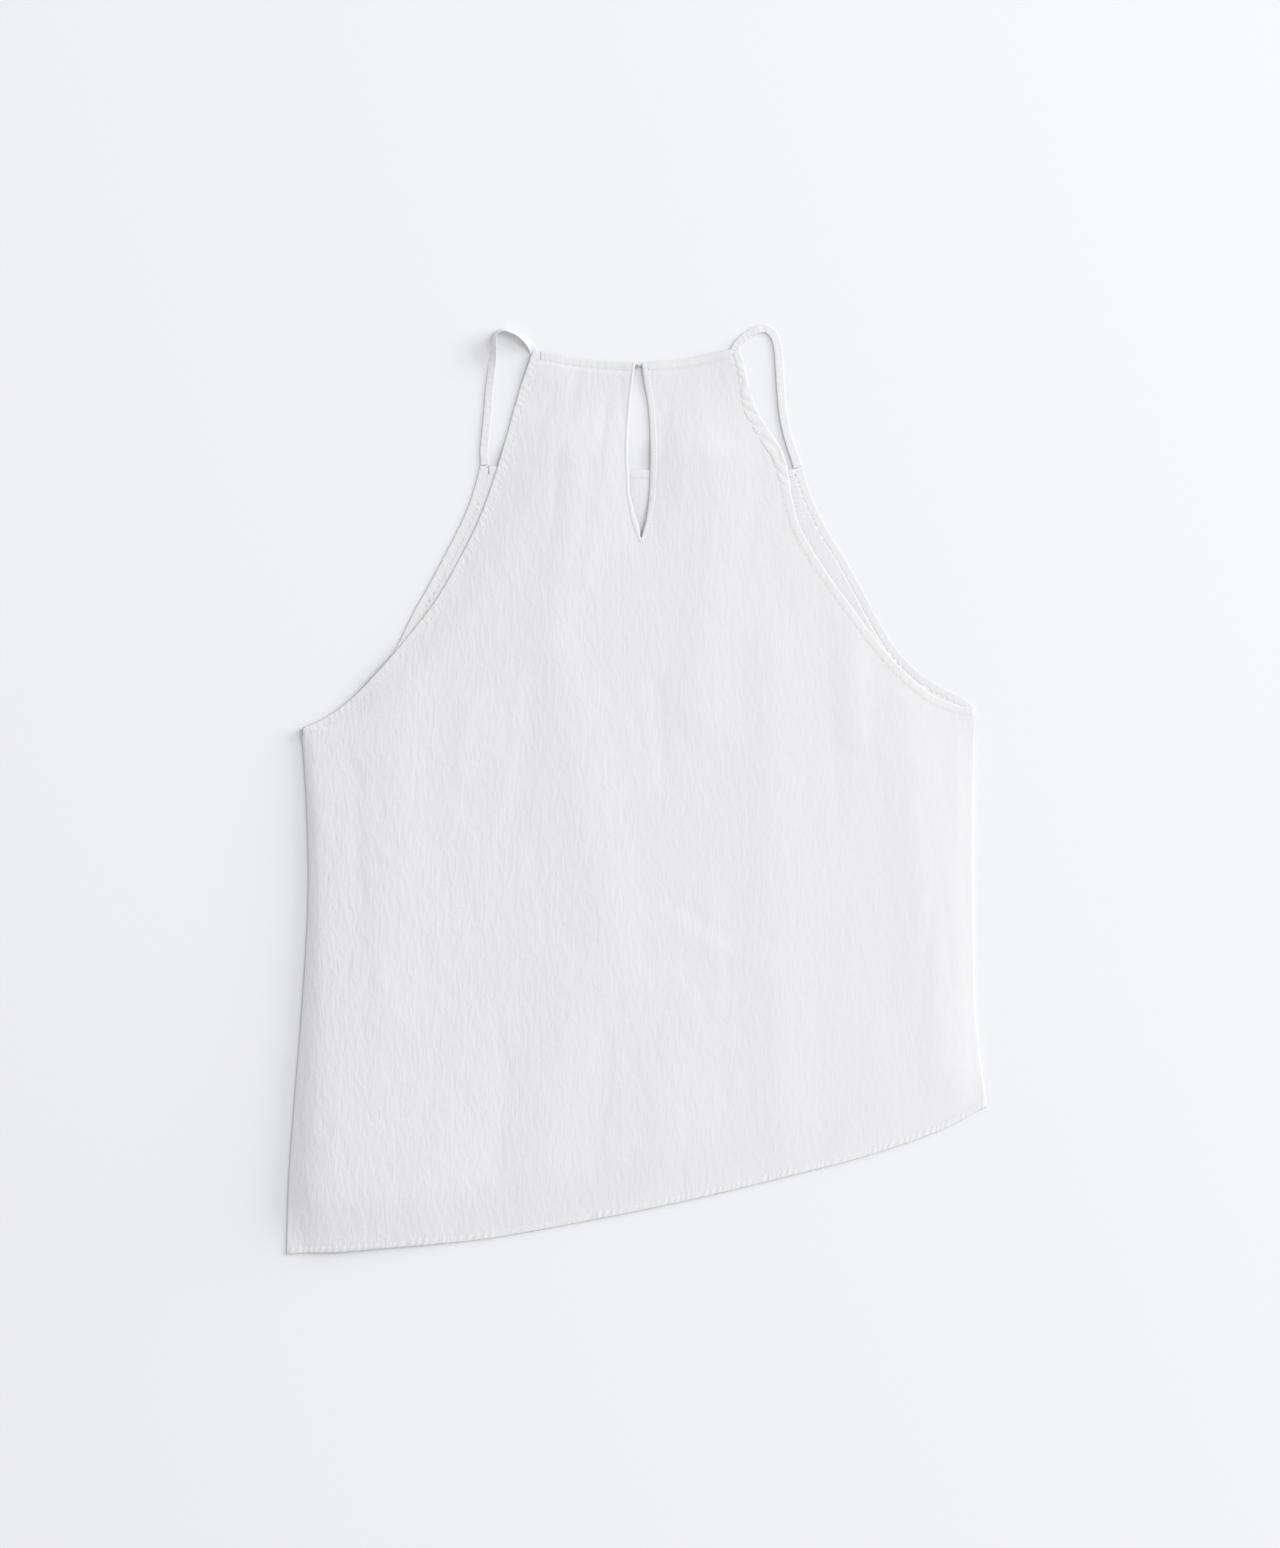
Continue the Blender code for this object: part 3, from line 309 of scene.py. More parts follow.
# The small crinkle: heights, lean, and how long each part is across and up
wrinkles = {
    "height": 0.15, "fine": 0.07, "slant": 0.09, "wander": 5, "follow": 0.6, "sharp": 0.5,
    "wandering": (34, 46), "wide": (8.5, 22), "narrow": (4.6, 8.5), "patches": (55, 48),
    "patch": (0.65, 0.5), "livelier": (0.85, 0.0016),   # livelier to the left
}


def crinkle(across, up, seed):  # long narrow wrinkles that lean and wander
    look = wrinkles

    def part(key, offset, along=across, shift=0):
        wide, high = look[key]
        return cloud(along / wide + shift, up / high, seed + offset)

    lean = across + up * look["slant"] + look["wander"] * part("wandering", 0)
    wide = part("wide", 1, lean)
    narrow = part("narrow", 2, lean, look["follow"] * wide)
    least, change = look["patch"]
    middle, slope = look["livelier"]
    patches = (least + change * part("patches", 3)) * (middle - across * slope)
    sharp = 1 - 2 * np.abs(wide)
    return patches * (look["height"] * (wide + look["sharp"] * sharp) + look["fine"] * narrow)


def sunk(height, across, up):  # lower near the hem and the edges that shade the rest
    look = creases
    past = ease((up - frontNeckLine(across) - look["neckFrom"]) / look["neckRun"])
    least = look["overFront"] + (look["overSurface"] - look["overFront"]) * past
    least = least + look["overRests"] * restLift(across, up)
    armhole = across - np.interp(up, leftArmhole.line[:, 1], leftArmhole.line[:, 0])
    armhole = np.where(up > cut["leftSide"][-1][1], armhole, farOff)
    slit = across - lip(up, 1, 0.0)
    slit = np.where(slit < -look["lipSlack"], farOff, slit)
    lipShare = ease((up - cut["keyholeTip"][1] - look["lipFrom"]) / look["lipFade"])
    seamShare = ease((look["rightSeamTo"] - up) / look["rightSeamFade"])
    for gap, edge, share in (
            (up - hemLine(across), "hem", 1.0),
            (sideGaps(across, up)[1], "rightSeam", seamShare),
            (armhole, "leftArmhole", 1.0),
            (slit, "rightLip", lipShare)):
        reach, most = look[edge]
        height = height - share * (1 - ease(gap / reach)) * np.clip(height - least, 0, most)
    return height


def turnedDown(gap, reach):  # 0 at an edge and 1 from its reach on
    return np.sqrt(1 - (1 - np.clip(gap / reach, 0, 1)) ** 2)


def clothHeight(across, up):  # the underside of the back's cloth
    look = creases
    leftGap, rightGap = sideGaps(across, up)
    gap = np.minimum(leftGap, rightGap)
    below = ease((cut["leftSide"][-1][1] - up) / look["seamFade"])
    calm = ease(gap / look["calmGap"]) * below + (1 - below)
    lines = sum(ridge(line, across, up) for line in look["lines"])
    height = sunk(backHeight(across, up) + look["lift"], across, up)
    height = height + calm * (lines + crinkle(across, up, 11))
    sides = turnedDown(leftGap + look["pastSeam"], np.interp(up, *zip(*look["leftTurn"])))
    sides = sides * turnedDown(rightGap + look["pastSeam"], look["rightTurn"])
    hem = turnedDown(up - hemLine(across) + look["pastHem"], look["hemTurn"])
    share = (1 + (sides - 1) * below) * hem
    return np.maximum(look["edge"] + (height - look["edge"]) * share, look["least"])


# The front lies nearly flat, and is gathered below its right neck corner
frontLie = {
    "lift": 0.12, "crinkled": 0.3, "level": 0.3, "across": 110.0, "reach": 12.0,
    "low": 508.0, "lowFade": 6.0, "high": 547.0, "highFade": 4.0, "pitch": 2.8, "height": 0.16,
}


def frontHeight(across, up):  # the underside of the front's cloth
    look = frontLie
    crinkled = np.clip(look["level"] + crinkle(across, up, 31), 0, 1)
    height = look["lift"] + look["crinkled"] * crinkled
    near = ease(1 - np.abs(across - look["across"]) / look["reach"])
    near = near * ease((up - look["low"]) / look["lowFade"])
    near = near * ease((look["high"] - up) / look["highFade"])
    return height + look["height"] * near * (1 + np.sin(up * math.tau / look["pitch"]))


# Meshes

def place(across, up, height):
    return np.stack([
        (across - cut["centreAcross"]) * mm, (up - cut["centreUp"]) * mm, height * mm], -1)


collection = bpy.data.collections.new("sleevelessTop")
bpy.context.scene.collection.children.link(collection)


def show(name, data, finish, slot, *nodes):
    piece = bpy.data.objects.new(name, data)
    collection.objects.link(piece)
    data.materials.append(finish)
    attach(piece, "root")
    if nodes:
        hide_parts(*nodes)
    return piece


def meshOf(name, points, faces):
    mesh = bpy.data.meshes.new(name)
    mesh.from_pydata(np.asarray(points).reshape(-1, 3).tolist(), [], faces)
    mesh.shade_smooth()
    return mesh


def edited(mesh, change):  # change is called with the mesh open in bmesh
    form = bmesh.new()
    form.from_mesh(mesh)
    change(form)
    form.to_mesh(mesh)
    form.free()


def tubeOf(name, rings):  # rings of points joined and capped, with their faces outwards
    rows, count = rings.shape[:2]
    faces = gridFaces(rows, count, closed=True)
    faces.append(tuple(range(count))[::-1])
    faces.append(tuple(range((rows - 1) * count, rows * count)))
    mesh = meshOf(name, rings, faces)
    fixNormals(mesh)
    return mesh


def fixNormals(mesh):
    edited(mesh, lambda form: bmesh.ops.recalc_face_normals(form, faces=form.faces))


def gridFaces(rows, columns, first=0, closed=False):  # quads over rows of points
    faces = []
    for row in range(rows - 1):
        for column in range(columns if closed else columns - 1):
            a, b = first + row * columns + column, first + row * columns + (column + 1) % columns
            faces.append((a, b, b + columns, a + columns))
    return faces


def thicken(piece, thickness):
    solid = piece.modifiers.new("cloth", "SOLIDIFY")
    solid.thickness = thickness * mm
    solid.offset = 1.0
    solid.use_even_offset = False
    return piece


# Shader maths

class Flow:  # a node's output that takes part in Python's maths
    def __init__(self, finish, socket):
        self.finish, self.socket = finish, socket

    def maths(self, operation, first, second=None):
        given = {0: first} if second is None else {0: first, 1: second}
        return self.finish.add("ShaderNodeMath", {"operation": operation}, given)

    def __add__(self, other):
        return self.maths("ADD", self, other)

    def __radd__(self, other):
        return self.maths("ADD", other, self)

    def __sub__(self, other):
        return self.maths("SUBTRACT", self, other)

    def __rsub__(self, other):
        return self.maths("SUBTRACT", other, self)

    def __mul__(self, other):
        return self.maths("MULTIPLY", self, other)

    def __rmul__(self, other):
        return self.maths("MULTIPLY", other, self)

    def __rpow__(self, other):
        return self.maths("POWER", other, self)

    def __abs__(self):
        return self.maths("ABSOLUTE", self)

    def sine(self):
        return self.maths("SINE", self)


class Finish:  # a material and its nodes
    def __init__(self, name, **constants):
        self.material = bpy.data.materials.new(name)
        self.material.use_nodes = True
        self.tree = self.material.node_tree
        self.shader = self.tree.nodes["Principled BSDF"]
        for socket, value in constants.items():
            self.shader.inputs[socket.replace("_", " ")].default_value = value

    def add(self, kind, settings, sockets, output=0):
        node = self.tree.nodes.new(kind)
        for name, value in settings.items():
            setattr(node, name, value)
        for key, value in sockets.items():
            if isinstance(value, Flow):
                self.tree.links.new(value.socket, node.inputs[key])
            else:
                node.inputs[key].default_value = value
        return Flow(self, node.outputs[output])

    def feed(self, socket, flow):
        self.tree.links.new(flow.socket, self.shader.inputs[socket])

    def spot(self):  # the place on the top, in metres
        return self.add("ShaderNodeTexCoord", {}, {}, "Object")

    def noise(self, where, sizes, detail=2.0, rough=0.5, turn=0.0):  # sizes in mm
        scaled = self.add("ShaderNodeMapping", {}, {
            "Vector": where, "Rotation": (0.0, 0.0, turn),
            "Scale": tuple(1 / (size * mm) for size in sizes)})
        return self.add("ShaderNodeTexNoise", {}, {
            "Vector": scaled, "Scale": 1.0, "Detail": detail, "Roughness": rough}, "Fac")

    def bump(self, height, distance, normal=None):  # distance in mm
        sockets = {"Height": height, "Distance": distance * mm, "Strength": 1.0}
        if normal:
            sockets["Normal"] = normal
        return self.add("ShaderNodeBump", {}, sockets, "Normal")

    def mixed(self, share, light, dark):
        self.feed("Base Color", self.add("ShaderNodeMix", {"data_type": "RGBA"}, {
            "Factor": share, 6: (*light, 1.0), 7: (*dark, 1.0)}, 2))


# Each noise: its sizes in mm, and then its detail, roughness and turn
linenLook = {
    "light": (0.945, 0.945, 0.953), "dark": (0.830, 0.830, 0.840), "roughness": 0.92,
    "sheen": 0.12, "sheenRoughness": 0.5, "specular": 0.25,
    "thread": 0.62, "wander": 0.35, "wandering": ((9.0, 9.0, 9.0), 1.0), "slubs": 0.8,
    "slub": (1.6, 17.0, 5.0), "slubNoise": (2.0, 0.6), "crossSlub": 1.1,
    "wrinkle": (3.2, 11.0, 8.0), "wrinkleNoise": (2.5, 0.55, 0.10), "ridged": 0.4,
    "line": ((5.6, 16.0, 8.0), 1.2, 0.5, 0.2), "lineWidth": 11.0,
    "small": ((3.2, 6.5, 4.0), 1.0, 0.45, -0.12), "patches": ((38.0, 60.0, 30.0), 3.0, 0.6),
    # bump depths in mm, and how they grow to the left
    "threadDepth": 0.015, "wrinkleDepth": 0.26, "smallDepth": 0.08, "slubDepth": 0.06,
    "lineDepth": 0.16, "lively": (0.74, 1.9),
    # how much of the dark colour: everywhere, by patch, by slub, and as painted shade that grows
    # to the left
    "shade": (0.34, 0.2, 0.12, 1.3),
}
biasLook = {
    **linenLook, "light": (0.95, 0.95, 0.956), "dark": (0.838, 0.838, 0.845),
    "wrinkle": (3.0, 3.0, 3.0), "wrinkleDepth": 0.1,
}
threadLook = {
    "light": (0.84, 0.84, 0.83), "darker": 0.9, "roughness": 0.75, "sheen": 0.1,
    "ply": ((0.25, 0.25, 0.25), 1.0), "depth": 0.08,
}
wireLook = {
    "light": (0.78, 0.77, 0.75), "dark": (0.62, 0.61, 0.59), "roughness": (0.3, 0.25),
    "wear": ((0.8, 0.8, 0.8), 3.0, 0.6), "depth": 0.02,
}


def makeLinen(name, look, turn):
    finish = Finish(
        name, Roughness=look["roughness"], Sheen_Weight=look["sheen"],
        Sheen_Roughness=look["sheenRoughness"], Specular_IOR_Level=look["specular"])
    where = finish.spot()
    parts = finish.add("ShaderNodeVectorRotate", {"rotation_type": "Z_AXIS"}, {
        "Vector": where, "Angle": turn})
    axes = [finish.add("ShaderNodeSeparateXYZ", {}, {"Vector": parts}, k) for k in "XY"]
    wander = finish.noise(where, *look["wandering"])
    waves = [
        ((axis + wander * (look["wander"] * mm)) * (math.pi / (look["thread"] * mm))).sine()
        for axis in axes]
    wide, long, deep = look["slub"]
    slubs = [
        finish.noise(parts, sizes, *look["slubNoise"])
        for sizes in ((wide, long, deep), (long, wide, deep))]
    bothSlubs = slubs[0] + slubs[1]
    across = finish.add("ShaderNodeSeparateXYZ", {}, {"Vector": where}, "X")
    lively = look["lively"][0] - look["lively"][1] * across

    # the bumps, from the largest to the threads
    fold = finish.noise(where, *look["line"])
    line = 2.0 ** (abs(fold - 0.5) * -look["lineWidth"])
    normal = finish.bump(line * lively, look["lineDepth"])
    wrinkle = finish.noise(where, look["wrinkle"], *look["wrinkleNoise"])
    ridges = (1 - abs(wrinkle - 0.5) * 2.0) * look["ridged"]
    normal = finish.bump(
        (wrinkle * (1 - look["ridged"]) + ridges) * lively, look["wrinkleDepth"], normal)
    uneven = slubs[0] + slubs[1] * look["crossSlub"]
    normal = finish.bump(uneven * lively, look["slubDepth"], normal)
    small = finish.noise(where, *look["small"])
    normal = finish.bump(small * lively, look["smallDepth"], normal)
    weave = waves[0] * waves[1] + bothSlubs * look["slubs"]
    finish.feed("Normal", finish.bump(weave, look["threadDepth"], normal))

    # random patches and slubs give the cloth's own tone; the last term is painted shade, darker
    # towards the left where less light falls
    least, byPatch, bySlub, paintedShadeLeftwards = look["shade"]
    patches = finish.noise(where, *look["patches"])
    share = least + patches * byPatch + bothSlubs * bySlub - across * paintedShadeLeftwards
    finish.mixed(share, look["light"], look["dark"])
    return finish.material


def makeThread(look):
    finish = Finish(
        "sewing thread", Roughness=look["roughness"], Sheen_Weight=look["sheen"])
    ply = finish.noise(finish.spot(), *look["ply"])
    finish.mixed(ply, look["light"], [look["darker"] * part for part in look["light"]])
    finish.feed("Normal", finish.bump(ply, look["depth"]))
    return finish.material


def makeWire(look):
    finish = Finish("nickel wire", Metallic=1.0)
    wear = finish.noise(finish.spot(), *look["wear"])
    least, worn = look["roughness"]
    finish.mixed(wear, look["light"], look["dark"])
    finish.feed("Roughness", wear * worn + least)
    finish.feed("Normal", finish.bump(wear, look["depth"]))
    return finish.material


linen = makeLinen("linen, straight grain", linenLook, 0.0)
bias = makeLinen("linen, bias grain", biasLook, math.pi / 4)
thread = makeThread(threadLook)
nickel = makeWire(wireLook)
print("finishes made")


# Panels

class Panel:  # rows across a panel, from the hem up the sides and then up the armholes
    def __init__(self, left, right, leftInset, rightInset, line, sag, drop):
        self.leftEdge = lambda share: left.inset(share, leftInset(share))
        self.rightEdge = lambda share: right.inset(share, rightInset(share))
        self.leftTop = self.shareAt(self.leftEdge, line, drop)
        self.rightTop = self.shareAt(self.rightEdge, line, drop)
        self.sag = sag

    def shareAt(self, edge, line, drop):  # where an inset armhole meets the neck's inset line
        low, high = 0.8, 1.0
        for _ in range(40):
            middle = (low + high) / 2
            across, up = edge(np.array(middle))
            low, high = (middle, high) if up < line(across) - drop else (low, middle)
        return low

    def row(self, sideShare, armShare):  # both ends, and up as a function of across
        if armShare > 0:
            start = self.leftEdge(np.array(armShare * self.leftTop))
            end = self.rightEdge(np.array(armShare * self.rightTop))
        else:
            ends = []
            for side, edge in ((leftSide, self.leftEdge), (rightSide, self.rightEdge)):
                low, high = side.line[0][1], side.line[-1][1]
                ends.append(side.at(sideShare * (edge(np.array(0.0))[1] - low) / (high - low)))
            start, end = ends

        def upAt(across):
            share = (across - start[0]) / (end[0] - start[0])
            up = start[1] + (end[1] - start[1]) * share
            if armShare > 0:
                return up - self.sag(share) * armShare ** cut["neckFade"]
            return up - hemSag(share) * (1 - sideShare) ** cut["hemFade"]

        return start[0], end[0], upAt


backCloth = {
    "sideRows": 98, "armholeRows": 70, "columns": 130, "closer": 0.3,
    "seamColumns": (0.001, 0.0023), "thick": 0.42, "underBinding": 1.2, "underNeck": 1.2,
    "underLip": 0.8,
}
frontCloth = {
    "sideRows": 90, "armholeRows": 210, "columns": 120, "inSeam": 1.8, "thick": 0.34,
    "underBinding": 1.2, "underNeck": 1.2,
}
cornerShare = 0.03   # of an armhole, in which its edge leaves the side seam's


def steps(look):  # shares across, closer at both ends and closest at the seam
    even = np.linspace(0, 1, look["columns"] - 1)
    closer = even - look["closer"] * np.sin(even * math.tau) / math.tau
    return np.insert(closer, 1, look["seamColumns"])


def rowShares(look):  # shares of the sides, then of the armholes
    rows = [(share, 0.0) for share in np.linspace(0, 1, look["sideRows"] + 1)]
    return rows + [(1.0, share) for share in np.linspace(0, 1, look["armholeRows"] + 1)[1:]]


def makeBack():
    look = backCloth
    panel = Panel(
        leftArmhole, rightArmhole,
        lambda share: cut["bindingWidth"] - look["underBinding"] + 0 * share,
        lambda share: rolledWidth(share) - look["underBinding"],
        neckLine, neckSag, cut["bindingWidth"] - look["underNeck"])
    rows = rowShares(look)
    tipAcross = cut["keyholeTip"][0]
    halves = [[], []]
    for sideShare, armShare in rows:
        start, end, upAt = panel.row(sideShare, armShare)
        out = creases["pastSeam"] * (1 - ease(armShare / cornerShare))
        for side, points in zip((-1, 1), halves):
            slit = lip(upAt(tipAcross), side, look["underLip"]) if armShare > 0 else tipAcross
            outer = start - out if side < 0 else end + out
            across = outer + (slit - outer) * steps(look)
            if side > 0:
                across = across[::-1]
            up = upAt(across)
            points.append(place(across, up, clothHeight(across, up)))
    columns = look["columns"] + 1
    points = np.concatenate([np.array(half).reshape(-1, 3) for half in halves])
    faces = gridFaces(len(rows), columns) + gridFaces(
        len(rows), columns, first=len(rows) * columns)
    mesh = meshOf("back_panel_cloth", points, faces)
    edited(mesh, lambda form: bmesh.ops.remove_doubles(form, verts=form.verts, dist=0.01 * mm))
    piece = show("back_panel_cloth", mesh, linen, "linen", "back_panel")
    return thicken(piece, look["thick"])


def makeFront():
    look = frontCloth
    inset = cut["bindingWidth"] - look["underBinding"]
    panel = Panel(
        frontLeftArmhole, frontRightArmhole, lambda share: inset + 0 * share,
        lambda share: inset + 0 * share, frontNeckLine, frontNeckSag,
        cut["bindingWidth"] - look["underNeck"])
    rows = rowShares(look)
    points = []
    for sideShare, armShare in rows:
        start, end, upAt = panel.row(sideShare, armShare)
        inward = look["inSeam"] * (1 - ease(armShare / cornerShare))
        across = np.linspace(start + inward, end - inward, look["columns"] + 1)
        up = upAt(across)
        points.append(place(across, up, frontHeight(across, up)))
    mesh = meshOf("front_panel_cloth", points, gridFaces(len(rows), look["columns"] + 1))
    piece = show("front_panel_cloth", mesh, linen, "linen", "front_panel")
    return thicken(piece, look["thick"])


backPanel = makeBack()
frontPanel = makeFront()
print("panels made")


# Bindings, hems and their stitches

bandLook = {
    "step": 1.0, "columns": (0.0, 0.03, *np.linspace(0.1, 0.9, 9), 0.97, 1.0),
    "underColumns": (0.86, 0.5, 0.14), "thick": 0.44, "square": 10, "under": 0.05, "lift": 0.1,
    # the puckers, and how long their changes are
    "pucker": 0.08, "pitch": 4.6, "slant": 0.45, "drift": 0.9, "driftLength": 11,
    "least": 0.6, "change": 0.55, "changeLength": 17, "wobble": 0.1, "wobbleLength": 3.1,
    "stitchAt": 0.80, "groove": 0.14, "grooveWidth": 0.10,
}
stitchLook = {
    "pitch": 2.7, "length": 1.9, "radius": 0.19, "tip": 0.15, "rings": 4, "sides": 6,
    "ends": 1.5, "ahead": 0.6,
}
allStitches = {"back": [], "front": []}


def railsOf(outer, inner, step):  # the same number of stations on both rails, evenly spaced
    middle = (outer + inner) / 2
    along = np.concatenate([[0.0], np.cumsum(np.hypot(*np.diff(middle, axis=0).T))])
    count = max(8, int(along[-1] / step))
    spots = np.linspace(0, along[-1], count + 1)

    def read(rail):
        return np.stack([np.interp(spots, along, rail[:, k]) for k in (0, 1)], -1)

    return read(outer), read(inner), spots


def band(name, outer, inner, look, seed, layer, node, extra=None):
    heightOf = {"back": clothHeight, "front": frontHeight}[layer]
    outer, inner, along = railsOf(np.asarray(outer), np.asarray(inner), look["step"])
    length = along[-1]
    s = along[:, None]
    drift = cloud(s / look["driftLength"], 0 * s, seed) * look["drift"]
    change = look["change"] * cloud(s / look["changeLength"], 0 * s + 3, seed + 1)
    pucker = look["pucker"] * (look["least"] + change)
    wobble = look["wobble"] * cloud(s / look["wobbleLength"], 0 * s + 7, seed + 2)

    def surface(v):  # v from the outer edge to the inner
        across = outer[:, :1] + (inner - outer)[:, :1] * v
        up = outer[:, 1:] + (inner - outer)[:, 1:] * v
        crown = np.clip(1 - np.abs(2 * v - 1) ** look["square"], 0, 1) ** 0.5
        turn = s / look["pitch"] + look["slant"] * v + drift
        folds = pucker * np.sin(turn * math.tau) * crown
        groove = look["groove"] * np.exp(-((v - look["stitchAt"]) / look["grooveWidth"]) ** 2)
        height = heightOf(across, up) + look["lift"] + look["thick"] * crown + folds - groove
        if extra:
            height = height + extra(s / length, v) * crown
        return across, up, height

    v = np.array(look["columns"])[None, :] + 0 * s
    top = place(*surface(v + wobble * (1 - v) / cut["bindingWidth"]))
    low = np.array(look["underColumns"])[None, :] + 0 * s
    lowAcross = outer[:, :1] + (inner - outer)[:, :1] * low
    lowUp = outer[:, 1:] + (inner - outer)[:, 1:] * low
    bottom = place(lowAcross, lowUp, heightOf(lowAcross, lowUp) + look["under"])
    mesh = tubeOf(name, np.concatenate([top, bottom], 1))
    piece = show(name, mesh, bias, "bias", *([node] if node else []))

    ends = stitchLook["ends"]
    spots = np.arange(ends, length - ends, stitchLook["pitch"])
    path = place(*surface(np.full(s.shape, look["stitchAt"])))[:, 0]
    here, ahead = (
        np.stack([np.interp(spots + far, along, path[:, k]) for k in range(3)], -1)
        for far in (0, stitchLook["ahead"]))
    allStitches[layer].append((here, ahead - here))


def sewStitches(name, rows):
    look = stitchLook
    turns = np.arange(look["sides"]) * math.tau / look["sides"]
    body = []
    for ring in range(look["rings"] + 1):
        angle = math.pi * ring / look["rings"]
        body.append((-math.cos(angle), math.sin(angle)))
    points, faces = [], []
    up = np.array((0.0, 0.0, 1.0))
    for places, ways in rows:
        for spot, way in zip(places, ways):
            way = way / np.linalg.norm(way)
            side = np.cross(way, up)
            first = len(points)
            for along, girth in body:
                for turn in turns:
                    offset = side * math.cos(turn) + up * math.sin(turn)
                    points.append(
                        spot + way * along * look["length"] / 2 * mm
                        + offset * max(look["tip"], girth) * look["radius"] * mm)
            faces += gridFaces(look["rings"] + 1, look["sides"], first, closed=True)
            faces.append(tuple(range(first, first + look["sides"])))
            last = first + look["rings"] * look["sides"]
            faces.append(tuple(range(last, last + look["sides"]))[::-1])
    mesh = meshOf(name, points, faces)
    fixNormals(mesh)
    return show(name, mesh, thread, "bias")


# The rolled upper part of the right armhole, and three stacked folds at the front neck's end
rolled = {"from": 0.66, "waves": 7, "slant": -1.0, "height": 0.28, "fade": 0.05,
          "wander": 0.8, "wanderings": 30, "crest": 0.9, "trough": 1.3, "narrow": 6}
stacked = {"from": 0.9, "fade": 0.03, "height": 0.22, "folds": 3}


def rolledWaves(share, v):
    look = rolled
    turn = (share - look["from"]) / (1 - look["from"]) * look["waves"] + v * look["slant"]
    turn = turn + look["wander"] * cloud(share * look["wanderings"], 0 * share + 5, 141)
    fade = ease((share - look["from"]) / look["fade"]) * ease((1 - share) / look["fade"])
    troughs = np.abs(np.sin(turn * math.pi)) ** look["narrow"]
    return look["height"] * fade * (look["crest"] - look["trough"] * troughs)


def stackedFolds(share, v):
    look = stacked
    grown = ease((share - look["from"]) / look["fade"])
    return look["height"] * grown * np.sin(look["folds"] * math.tau * v)


def makeArmholeStrips():
    shares = np.linspace(0, 1, 500)
    plain = cut["bindingWidth"] + 0 * shares
    front = {**bandLook, "thick": 0.32, "groove": 0.05}
    for layer, side, edge, width, look, seed, extra in (
            ("back", "left", leftArmhole, plain, {**bandLook, "pucker": 0.15}, 61, None),
            ("back", "right", rightArmhole, rolledWidth(shares),
             {**bandLook, "wobble": 0.0, "thick": 0.46}, 71, rolledWaves),
            ("front", "left", frontLeftArmhole, plain, front, 83, None),
            ("front", "right", frontRightArmhole, plain, front, 84, None)):
        band(
            f"{layer}_armhole_{side}_strip", edge.at(shares), edge.inset(shares, width), look,
            seed, layer, f"{layer}_armhole_binding_{side}", extra)


neckLook = {
    **bandLook, "pucker": 0.02, "thick": 0.42, "wobble": 0.04, "groove": 0.06,
    "fromLips": 1.4, "backEnds": (-69.3, 65.6), "frontEnds": (-105.6, 109.4),
    # how far the inner edge's end is from the outer's: at the left's lip, at the right's lip
    "leftShift": -0.5, "rightShift": 1.7,
}
keyholeLook = {
    **bandLook, "pucker": 0.05, "thick": 0.62, "groove": 0.06, "square": 3, "stitchAt": 0.24,
    "step": 0.7,
}


def makeNeckStrips():
    look = neckLook
    lips = [lip(neckLine(0.0), side, 1.0) - side * look["fromLips"] for side in (-1, 1)]
    for layer, side, start, end, startShift, endShift, seed in (
            ("back", "_left", look["backEnds"][0], lips[0], 0.0, look["leftShift"], 95),
            ("back", "_right", lips[1], look["backEnds"][1], look["rightShift"], 0.0, 96),
            ("front", "", *look["frontEnds"], 0.0, 0.0, 97)):
        line, extra = (neckLine, None) if layer == "back" else (frontNeckLine, stackedFolds)
        across = np.linspace(start, end, 120)
        lower = np.linspace(start + startShift, end + endShift, 120)
        band(
            f"{layer}_neck{side}_strip", np.stack([across, line(across)], -1),
            np.stack([lower, line(lower) - cut["bindingWidth"]], -1), look, seed, layer,
            f"{layer}_neck_binding{side}", extra)


def makeKeyholeStrip():
    ups = [row[0] for row in cut["keyhole"][:-1]] + [float(neckLine(0.0))]
    tipAcross, tipUp = cut["keyholeTip"]

    def rail(withBinding):
        foot = (tipAcross, tipUp - withBinding * cut["keyholeTipBinding"])
        left = [(float(lip(up, -1, withBinding)), up) for up in reversed(ups)]
        right = [(float(lip(up, 1, withBinding)), up) for up in ups]
        return smoothLine(left + [foot] + right, 400)

    band("keyhole_strip", rail(1.0), rail(0.0), keyholeLook, 131, "back", "keyhole_binding")


hemLook = {
    **bandLook, "step": 0.8, "lift": 0.15, "thick": 0.42, "under": 0.0,
    "pucker": 0.2, "pitch": 4.7, "slant": -0.55, "wobble": 0.5, "stitchAt": 0.86,
    "groove": 0.25, "grooveWidth": 0.12, "below": 0.2, "above": 5.6, "slide": 0.9,
    "frontThick": 0.2, "backInward": 0.2, "frontInward": 2.5,
}


def makeHems():
    look = hemLook
    start, end = cut["leftSide"][0], cut["rightSide"][0]
    for layer, thick, inward, seed in (
            ("back", look["thick"], look["backInward"], 151),
            ("front", look["frontThick"], look["frontInward"], 161)):
        across = np.linspace(start[0] + inward, end[0] - inward, 600)
        up = hemLine(across) + inward
        band(
            f"{layer}_hem", np.stack([across, up - look["below"]], -1),
            np.stack([across - look["slide"], up + look["above"]], -1),
            {**look, "thick": thick}, seed, layer, None)


makeArmholeStrips()
makeNeckStrips()
makeKeyholeStrip()
makeHems()
backStitches = sewStitches("back_stitches", allStitches["back"])
frontStitches = sewStitches("front_stitches", allStitches["front"])
print("bindings, hems and stitches made")


# Straps

